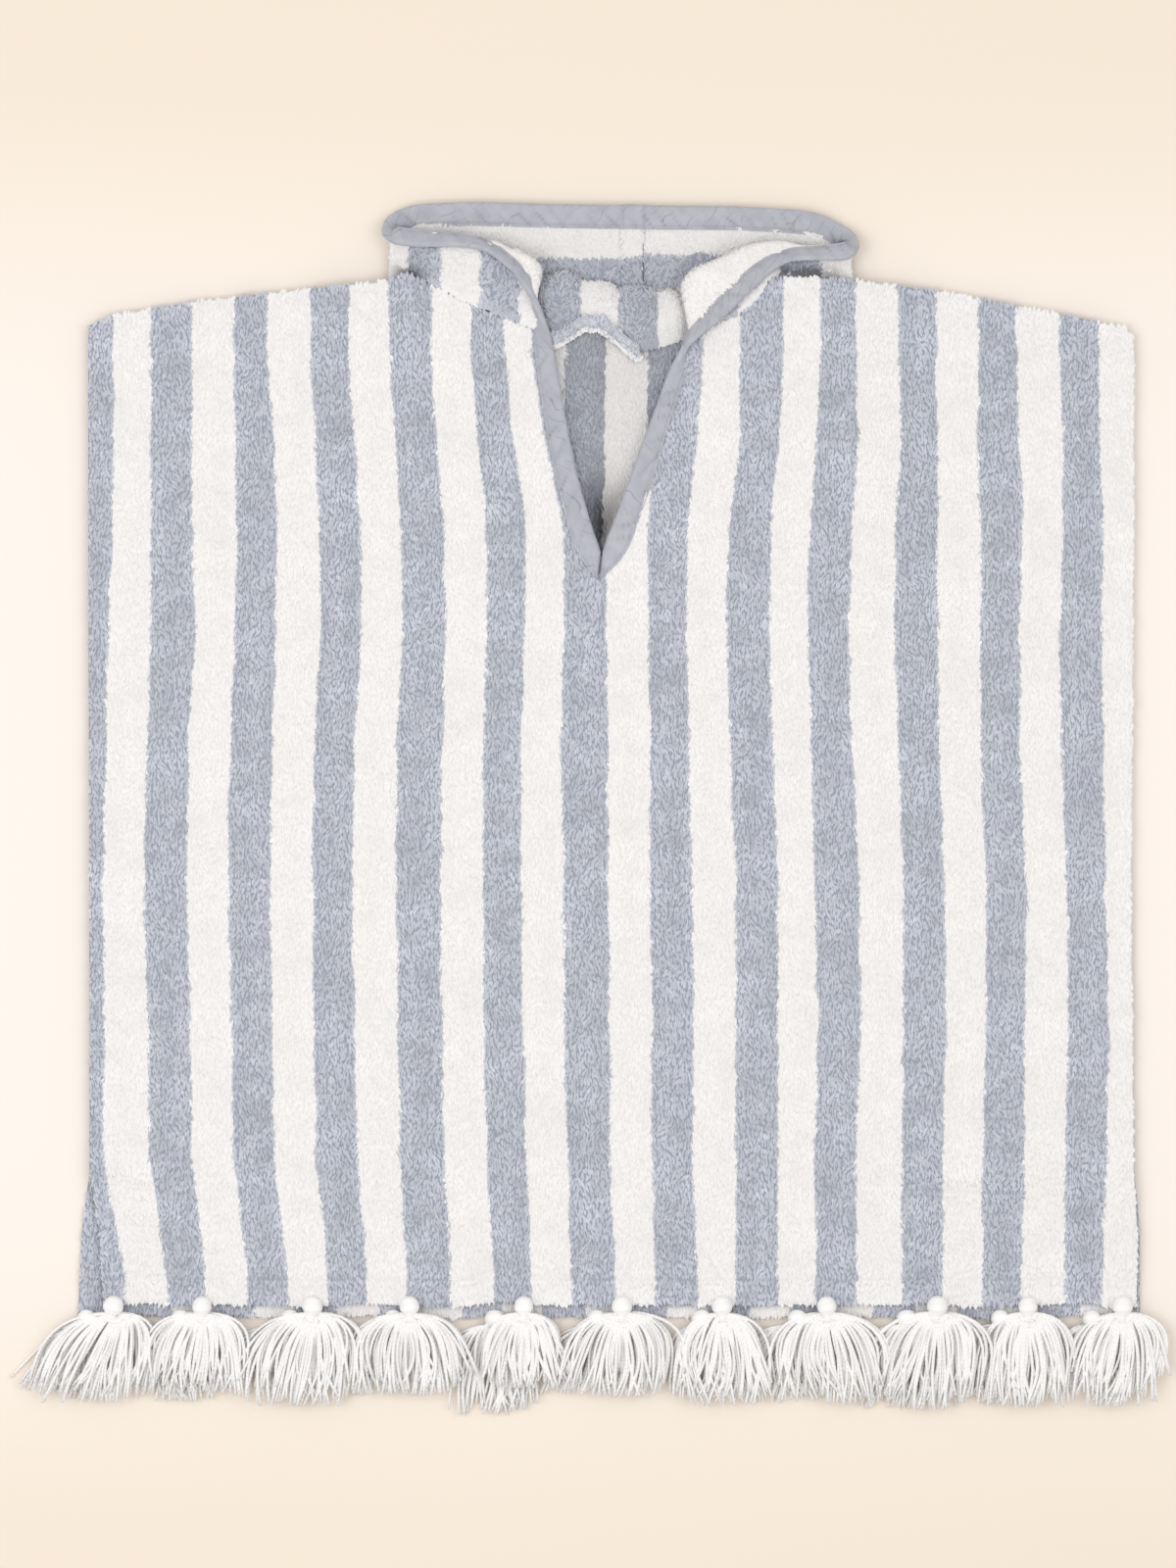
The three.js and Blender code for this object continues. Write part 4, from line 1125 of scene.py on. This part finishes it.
def on_height(name, x, y, top, stripe, shade, seed):
    """Tufts on a height z = top(x, y). Their lie swirls about the length of the cloth."""
    rng = np.random.default_rng(seed)
    blue = coloured(stripe(x, y), rng)
    slope_x, slope_y = (top(x + 0.5, y) - top(x - 0.5, y)), (top(x, y + 0.5) - top(x, y - 0.5))
    ups = unit(np.stack([-slope_x, -slope_y, np.ones(len(x))], 1))
    turn = 0.3 * ripple(x, y, 26, 63) + 0.22 * ripple(x, y, 11, 64) + rng.normal(0, 0.14, len(x))
    lies = np.stack([np.sin(turn), -np.cos(turn), 0 * turn], 1)
    lies = unit(lies - ups * (lies * ups).sum(1, keepdims=True))
    feet = np.stack([x, y, top(x, y)], 1)
    # Painted shade: shade(x, y), deeper on blue, darkens each tuft on top of its random tone.
    tone = toned(x, y, blue, rng) * shade(x, y) ** (1 + blue)
    return tufts(name, feet, ups, lies, tuft_sizes(blue, rng), blue, tone)


def inside(x, y, line, hem, left, right, margin=0.2):
    """True where a point lies on the panel, `margin` mm in from its edges."""
    return ((x > np.interp(y, SIDES[:, 0], SIDES[:, left]) + margin)
            & (x < np.interp(y, SIDES[:, 0], SIDES[:, right]) - margin)
            & (y > hem + hem_sway(x) + margin) & (y < line_y(line, x) + 0.7))


def off_tape(x, y):
    """True away from the tape that lies along the V."""
    outer_left = np.interp(y, LEFT_V[:, 3], LEFT_V[:, 2]) + 1.5
    outer_right = np.interp(y, RIGHT_V[:, 3], RIGHT_V[:, 2]) - 1.5
    return (y < 134) | (x < outer_left) | (x > outer_right)


rng = np.random.default_rng(7)
PITCH = (1.3, 2.3)
x, y = sown((-292, 311, -284, 309), PITCH, rng)
keep = inside(x, y, FRONT_LINE, FRONT_HEM, 1, 3) & off_tape(x, y)
x, y = x[keep], y[keep]
parts = np.digitize(x, [-150, 5, 160])
front_pile = [on_height(f"front_loops_{k + 1}", x[parts == k], y[parts == k], front_top,
                        front_stripe, even_shade, 70 + k) for k in range(4)]
print("front tufts:", len(x), "in", len(front_pile), "pieces")

x, y = sown((-296, 314, -292, 300), PITCH, rng)
shown = ((y < FRONT_HEM + 9) | (x < np.interp(y, SIDES[:, 0], SIDES[:, 1]) + 6)
         | (x > np.interp(y, SIDES[:, 0], SIDES[:, 3]) - 5)
         | ((y > 132) & ~(x < np.interp(y, LEFT_V[:, 1], LEFT_V[:, 0]) - 8)
            & ~(x > np.interp(y, RIGHT_V[:, 1], RIGHT_V[:, 0]) + 10)))
keep = inside(x, y, BACK_LINE, BACK_HEM, 2, 4) & shown
back_pile = on_height("back_loops", x[keep], y[keep], back_top, back_stripe, painted_v_shade, 80)
print("back tufts:", int(keep.sum()))

# %% [markdown]
# ## Tufts on the hood
# On the hood the ground bends, so the feet are drawn at random over (u, v), in step with the
# area there, and stand along the surface's own normal. The edge under the tape stays bare.

# %% Hood tufts
DRAWN = 60000  # feet drawn for each piece, before most are left out


def everywhere(u, v):
    """True at every point."""
    return u > -np.inf


def top_side(surface, u, v):
    """1 if the surface's normal at (u, v) points up, and -1 if it points down."""
    return 1 if facing(surface, np.array([u]), np.array([v]))[0][0][2] > 0 else -1


def painted_seam_shadow(x, y):
    """Painted shadow where the hood meets the shoulders: two short troughs of it."""
    left = 0.62 * bell((x + 108) / 8) * bell((y - 307.5) / 4.5)
    right = 0.5 * smooth(98, 108, x) * smooth(146, 132, x) * bell((y - 307) / 4.5)
    return 1 - left - right


def on_surface(name, surface, box, side, room, stripe, seed, painted_shade=1.0, bumpy=0.25, free=everywhere):
    """Tufts on one side of surface(u, v), inside the box (u0, u1, v0, v1) and where `free` says.

    Each has `room` mm2 to itself: of many feet drawn evenly over the box, a foot is kept with a
    chance that grows with the area there.
    """
    rng = np.random.default_rng(seed)
    u, v = rng.uniform(box[0], box[1], DRAWN), rng.uniform(box[2], box[3], DRAWN)
    area = facing(surface, u, v)[1]
    chance = area * (box[1] - box[0]) * (box[3] - box[2]) / DRAWN / room
    keep = (rng.uniform(0, 1, DRAWN) < chance) & free(u, v)
    u, v = u[keep], v[keep]
    normal, _, along_v = facing(surface, u, v)
    ups = normal * side
    x, y, z = surface(u, v).T
    blue = coloured(stripe(x, y, v), rng)
    turn = 0.7 * ripple(x, y, 20, 65) + rng.normal(0, 0.4, len(u))
    lies = unit(along_v - ups * (along_v * ups).sum(1, keepdims=True))
    lies = lies * np.cos(turn)[:, None] + np.cross(ups, lies) * np.sin(turn)[:, None]
    uneven = bumpy * ripple(x + z, y - z, 16, 21)
    feet = np.stack([x, y, z], 1) + ups * (GROUND / 2 + side * uneven)[:, None]
    # Painted shade: the piece's shade number and the painted seam shadow darken the tufts, deeper on blue.
    return tufts(name, feet, ups, lies, tuft_sizes(blue, rng), blue,
                 toned(x, y, blue, rng) * (painted_shade * painted_seam_shadow(x, y)) ** (1 + blue))


def off_rim(surface):
    """True where a hood side is free of its tape: further from the rim than the tape reaches."""
    def free(u, v):
        rim, fold = surface(u, 0 * u + 1), surface(u, 0 * u + FOLD_END)
        reach = np.linalg.norm(fold - rim, axis=-1)
        return (1 - v) / (1 - FOLD_END) * reach > np.interp(u, [0, 0.2, 0.4, 0.47, 0.52], [8, 7, 8, 10, 30])
    return free


# The number after each seed is painted shade for the piece: 0.9 to 0.98 on the hood's outside and its seam,
# the crown, the nape roll and its seam; none on the hood's inside and the band.
hood_pile = []
for name, surface, number in (("left", left_lapel, left_hood_stripe),
                              ("right", right_lapel, right_hood_stripe)):
    numbers = lapel_number(number)
    upward = top_side(surface, 0.5, 0.9)  # the inside of the hood lies up on the turned part
    hood_pile.append(on_surface(f"hood_loops_outside_{name}", surface, (0.02, 0.955, 0.0, 0.4),
                                -upward, 2.3, numbers, 90, 0.98, HOOD_UNEVEN))
    hood_pile.append(on_surface(f"hood_seam_loops_{name}", surface, (0.02, 0.955, 0.0, 0.04),
                                -upward, 0.7, numbers, 96, 0.97, HOOD_UNEVEN))
    hood_pile.append(on_surface(f"hood_loops_inside_{name}", surface, (0.02, 0.93, 0.08, 0.95),
                                upward, 1.9, numbers, 91, 1.0, HOOD_UNEVEN, off_rim(surface)))
crown_pile = []
for name, start, end in (("left", CROWN_EDGE[0, 0] + 2, CROWN_SEAM - 0.5),
                         ("right", CROWN_SEAM + 0.5, CROWN_EDGE[-1, 0] - 2)):
    crown_pile.append(on_surface("crown_loops_" + name, crown_surface, (start, end, 9.5, 70),
                                 top_side(crown_surface, 0.0, 30.0), 2.4, crown_number, 92, 0.94))
roll_side = top_side(roll_surface, 5.0, 0.3)
roll_pile = on_surface("nape_roll_loops", roll_surface, (ROLL_LEFT, ROLL_RIGHT, 0.02, 0.97),
                       roll_side, 2.2, roll_stripes, 93, 0.92)
seam_pile = on_surface("nape_seam_loops", roll_surface, (20, ROLL_RIGHT, 0.0, 0.1), roll_side, 0.35,
                       roll_stripes, 97, 0.9)
band_side = top_side(band_surface, 2.0, 0.5)
band_pile = on_surface("nape_band_nap", band_surface, (-26, 25, 0.1, 0.95), band_side, 2.6,
                       lambda x, y, v: 1.5 + 0 * x, 94, 1.0)
band_fringe = on_surface("nape_fringe", band_surface, (-24, 26, -0.12, 0.12), band_side, 0.35,
                         lambda x, y, v: 0.5 + 0 * x, 95, 1.0)
print("hood tufts:", [len(o.data.polygons) // 4 for o in (*hood_pile, *crown_pile, roll_pile)])

# %% [markdown]
# ## Yarn
# Tassels and their whippings are yarn: a tube round a path. A tube's rings stand square to the
# path and have four or more corners. `tubes` makes any number of them at once.

# %% Tubes round paths


def tubes(paths, radii, sides, upright=(0, 0, 1)):
    """Closed tubes round N paths of M points: corners, faces, flat map and a map in mm.

    Ring k of a path is p + r (a cos w + b sin w), with a and b square to the path. The flat map
    gives every tube an oblong of its own.
    """
    count, rings = paths.shape[:2]
    tangent = unit(np.gradient(paths, axis=1))
    a = unit(np.cross(tangent, np.broadcast_to(upright, tangent.shape)))
    b = np.cross(a, tangent)
    w = np.arange(sides) / sides * 2 * np.pi
    spoke = a[:, :, None] * np.cos(w)[:, None] + b[:, :, None] * np.sin(w)[:, None]
    points = paths[:, :, None] + spoke * np.broadcast_to(radii, (count, rings))[..., None, None]
    first = np.arange(count)[:, None, None] * rings * sides
    i, j = np.arange(rings - 1)[:, None] * sides, np.arange(sides)
    k = (j + 1) % sides
    quads = np.stack([first + i + j, first + i + k, first + i + k + sides, first + i + j + sides], -1)
    start = first[:, 0] + j[::-1]
    end = first[:, 0] + (rings - 1) * sides + j
    columns = int(np.ceil(np.sqrt(count * 4)))
    rows = int(np.ceil(count / columns))
    corner = np.stack([np.arange(count) % columns / columns, np.arange(count) // columns / rows], 1)
    size = np.array([1 / columns, 1 / rows])
    turn = np.stack([j, j + 1, j + 1, j], -1) / sides
    rise = np.stack([i, i, i + sides, i + sides], -1) / ((rings - 1) * sides)
    turn, rise = np.broadcast_arrays(turn[None], rise)
    flat = np.stack([0.06 + 0.88 * turn, 0.05 + 0.85 * rise], -1)
    flat = corner[:, None, None, None] + flat[None] * size
    dot = np.stack([0.5 + 0.3 * np.cos(w), 0.95 + 0.035 * np.sin(w)], 1)
    caps = [corner[:, None] + (dot - shift)[None] * size for shift in ([0, 0], [0, 0.93])]
    length = np.insert(np.cumsum(np.linalg.norm(np.diff(paths, axis=1), axis=2), 1), 0, 0, axis=1)
    low, high = length[:, :-1, None], length[:, 1:, None]
    run = np.stack([np.stack([np.broadcast_to(v, (count, rings - 1, sides)) for v in
                              (low, low, high, high)], -1),
                    np.broadcast_to(turn[None], (count, rings - 1, sides, 4))], -1)
    faces = [quads.reshape(-1, 4), start, end]
    maps = [flat.reshape(-1, 4, 2), *caps]
    run = np.concatenate([run.reshape(-1, 2), np.zeros((2 * count * sides, 2))])
    return points.reshape(-1, 3), faces, maps, run


def yarn_piece(name, bundles, material, tones):
    """Joins several sets of tubes into one piece; their flat maps lie side by side."""
    points, runs, all_faces, all_maps, tone = [], [], [], [], []
    shift = 0
    for k, ((p, faces, maps, run), own) in enumerate(zip(bundles, tones)):
        squeeze = np.array([1 / len(bundles), 1])
        move = np.array([k / len(bundles), 0])
        points.append(p)
        all_faces += [f + shift for f in faces]
        all_maps += [m * squeeze + move for m in maps]
        runs.append(run)
        tone.append(np.repeat(own, len(p) // len(own)))
        shift += len(p)
    return put(name, np.concatenate(points), all_faces, all_maps, material,
               {"tone": np.concatenate(tone)}, np.concatenate(runs))


PLY = 2.4  # the length of one twist of the yarn
yarn_finish = Finish("tassel_yarn", Roughness=0.85, Sheen_Weight=0.35)
lengthways, sideways = yarn_finish.run()
ply = ((lengthways / PLY + sideways) * float(2 * np.pi)).sine()
yarn_finish.painted(yarn_finish.toned(
    yarn_finish.blended(yarn_finish.ranged(ply, -1.0, 0.2, 0.0, 1.0), colour(252, 249, 248),
                        colour(255, 255, 255)), yarn_finish.reading("tone")))
yarn_finish.bumped(ply * 0.5 + 0.5, 0.00012)
print("yarn finish:", yarn_finish.material.name)

# %% [markdown]
# ## Tassels
# Eleven tassels hang from each hem. A tassel is a hank of yarn folded over the hem stitch and
# whipped below a round head. From the whipping the ends fan out, sag and curl in small bundles.
# All the ends of a row are worked out in one go.

# %% Tassels
# x, lean, width, length
FRONT_TASSELS = np.array([
    (-274, -16, 58, 56), (-224.5, -5, 54, 52), (-161, -8, 62, 58), (-106.5, 1, 60, 52),
    (-41, -2, 44, 48), (15, -2, 56, 53), (72, 1, 50, 58), (131.5, 4, 56, 57), (195.5, -6, 50, 60),
    (246.5, 1, 46, 59), (301, -4, 46, 58)], float)
BACK_TASSELS = np.array([
    (-290, -8, 48, 48), (-237, -3, 46, 49), (-174, -8, 50, 46), (-115.5, -3, 48, 46),
    (-58, 1, 44, 57), (1, -5, 48, 45), (60, 4, 41, 47), (116, -7, 48, 50), (177.5, 2, 44, 53),
    (231, 1, 44, 51), (283, 3, 40, 45)], float)
RINGS, STRAND_SIDES, HEAD_SIDES = 11, 4, 18
BUNDLE = 4  # strands that curl together
# How far down each tassel's head its radius is read, and that radius
HEAD_ROWS = [(0, 0.6), (0.5, 2.4), (1.6, 4.2), (3.4, 5.4), (5.2, 5.7), (7, 5.2), (8.4, 4.0), (9.3, 3.1),
             (9.8, 3.3), (10.3, 3.0), (10.8, 3.4), (11.3, 3.1), (11.9, 3.4), (12.6, 3.0), (13.4, 3.3)]


def tassel_row(name, rows, hem, low, high, tie, head, ends, seed):
    """A row of tassels: heads and whippings as turned forms, and `ends` strands on each."""
    rng = np.random.default_rng(seed)
    count = len(rows)
    start = np.stack([rows[:, 0], hem + 2.5 + 0 * rows[:, 0], tie + 0 * rows[:, 0]], 1)
    down, radius = np.array(HEAD_ROWS).T
    heads = start[:, None] + np.stack([0 * down, -down, (head - tie) * smooth(0, 5, down)], 1)
    heads = heads + np.stack([rows[:, 1] * 0.02, 0 * rows[:, 1], 0 * rows[:, 1]], 1)[:, None] * down[:, None]
    forms = tubes(heads, radius * rng.uniform(0.94, 1.06, (count, 1)), HEAD_SIDES)
    x0, lean, width, length = (np.repeat(c, ends)[:, None] for c in rows.T)
    s = np.linspace(0, 1, RINGS)[None]
    total = count * ends
    share = (np.tile(np.linspace(-1, 1, ends), count) + rng.normal(0, 0.12, total))[:, None]
    layer = rng.uniform(0, 1, (total, 1))
    bundle = np.repeat(rng.normal(0, 1, (total // BUNDLE, 3)), BUNDLE, axis=0)[..., None]
    reach = (length - 9) * (1 + 0.09 * bundle[:, 0]) * rng.uniform(0.86, 1.04, (total, 1))
    reach = np.minimum(reach * (1 - 0.12 * share**2), 1.04 * (length - 9))
    fan = 1 - (1 - s) ** 2.6
    curl = (3.6 * bundle[:, 1] + rng.normal(0, 0.9, (total, 1))) * np.sin(np.pi * s * 1.2) * s
    hook = (3.2 * bundle[:, 2] + rng.normal(0, 1.6, (total, 1))) * s**3
    x = x0 + share * 2.2 + lean * s**1.2 + share * width / 2 * 0.95 * fan + curl + hook
    y = hem - 8.0 - reach * s ** (1 + 0.9 * np.minimum(1, np.abs(share))) + 1.5 * share**2 * (1 - s)
    rest_z = mix(low + 0.7, high - 0.7, layer)
    z = mix(head + 1.8 * np.cos(np.pi * layer), rest_z, smooth(0.0, 0.45, s))
    z = z + 0.9 * np.sin(np.pi * s) * (1 - share**2) + rng.normal(0, 0.4, (total, 1)) * s
    thick = rng.uniform(0.8, 1.05, (total, 1)) * (1 - 0.3 * smooth(0.8, 1, s))
    strands = tubes(np.stack([x, y, z], 2), thick, STRAND_SIDES)
    tones = [rng.uniform(0.97, 1.0, count), rng.uniform(0.96, 1.0, total)]
    return yarn_piece(name, [forms, strands], yarn_finish.material, tones)


front_tassels = tassel_row("tassels_front", FRONT_TASSELS, FRONT_HEM, 6.4, 13.2, 5.6, 9.2, 100, 101)
back_tassels = tassel_row("tassels_back", BACK_TASSELS, BACK_HEM, 0.3, 6.2, 4.2, 5.7, 80, 102)
print("tassels:", len(front_tassels.data.polygons) + len(back_tassels.data.polygons), "faces")

# %% [markdown]
# ## What each piece stands for
# The frame's plain solids are hidden, and each seen piece is listed with the solids it replaces.
# All pieces hang from one body.

# %% Bodies, hidden parts and the table
stands_for = {
    front: ["front_panel"], back: ["back_panel"], bag: ["hood_bag"],
    crowns[0]: ["hood_crown_left"], crowns[1]: ["hood_crown_right"],
    hood_sides["left"]: ["hood_side_left"], hood_sides["right"]: ["hood_side_right"],
    nape_roll: ["hood_nape_roll"], nape_band: ["nape_band"],
    tape: ["binding_neck_left", "binding_neck_right", "binding_hood_left", "binding_hood_right",
           "binding_crown"],
    front_tassels: [f"tassel_front_{k:02d}" for k in range(1, 12)],
    back_tassels: [f"tassel_back_{k:02d}" for k in range(1, 12)]}
loop_pieces = [*front_pile, back_pile, *hood_pile, *crown_pile, roll_pile, seam_pile, band_pile,
               band_fringe]
for piece in (*stands_for, *loop_pieces):
    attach(piece, "root")
for piece, nodes in stands_for.items():
    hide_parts(*nodes)

for place, (side, flat, cut) in enumerate((("left", (0.11, 0.05), 0.0041),
                                           ("right", (0.125, 0.055), 0.0047))):
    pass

# in metres
HALF_TABLE, TABLE_Z = 1.6, -0.0003
floor = bpy.data.meshes.new("table_top")
floor.from_pydata([(sx * HALF_TABLE, sy * HALF_TABLE, TABLE_Z) for sx, sy in
                   ((-1, -1), (1, -1), (1, 1), (-1, 1))], [], [(0, 1, 2, 3)])
table = bpy.data.objects.new("table_top", floor)
bpy.context.collection.objects.link(table)
table_finish = Finish("cream_table", Roughness=0.9)
# Painted shade on the table: darker and warmer the further a point lies from the middle along y.
down = table_finish.add("ShaderNodeSeparateXYZ", inputs={0: table_finish.place()}, output=1)
painted_falloff = table_finish.ranged(down * down + table_finish.noise(table_finish.place(), 3.0) * 0.02,
                            0.04, 0.2, 0.0, 1.0)
table_finish.painted(table_finish.blended(
    painted_falloff, colour(249, 241, 234), colour(242, 230, 213)))
floor.materials.append(table_finish.material)
print("pieces:", len(stands_for) + len(loop_pieces))
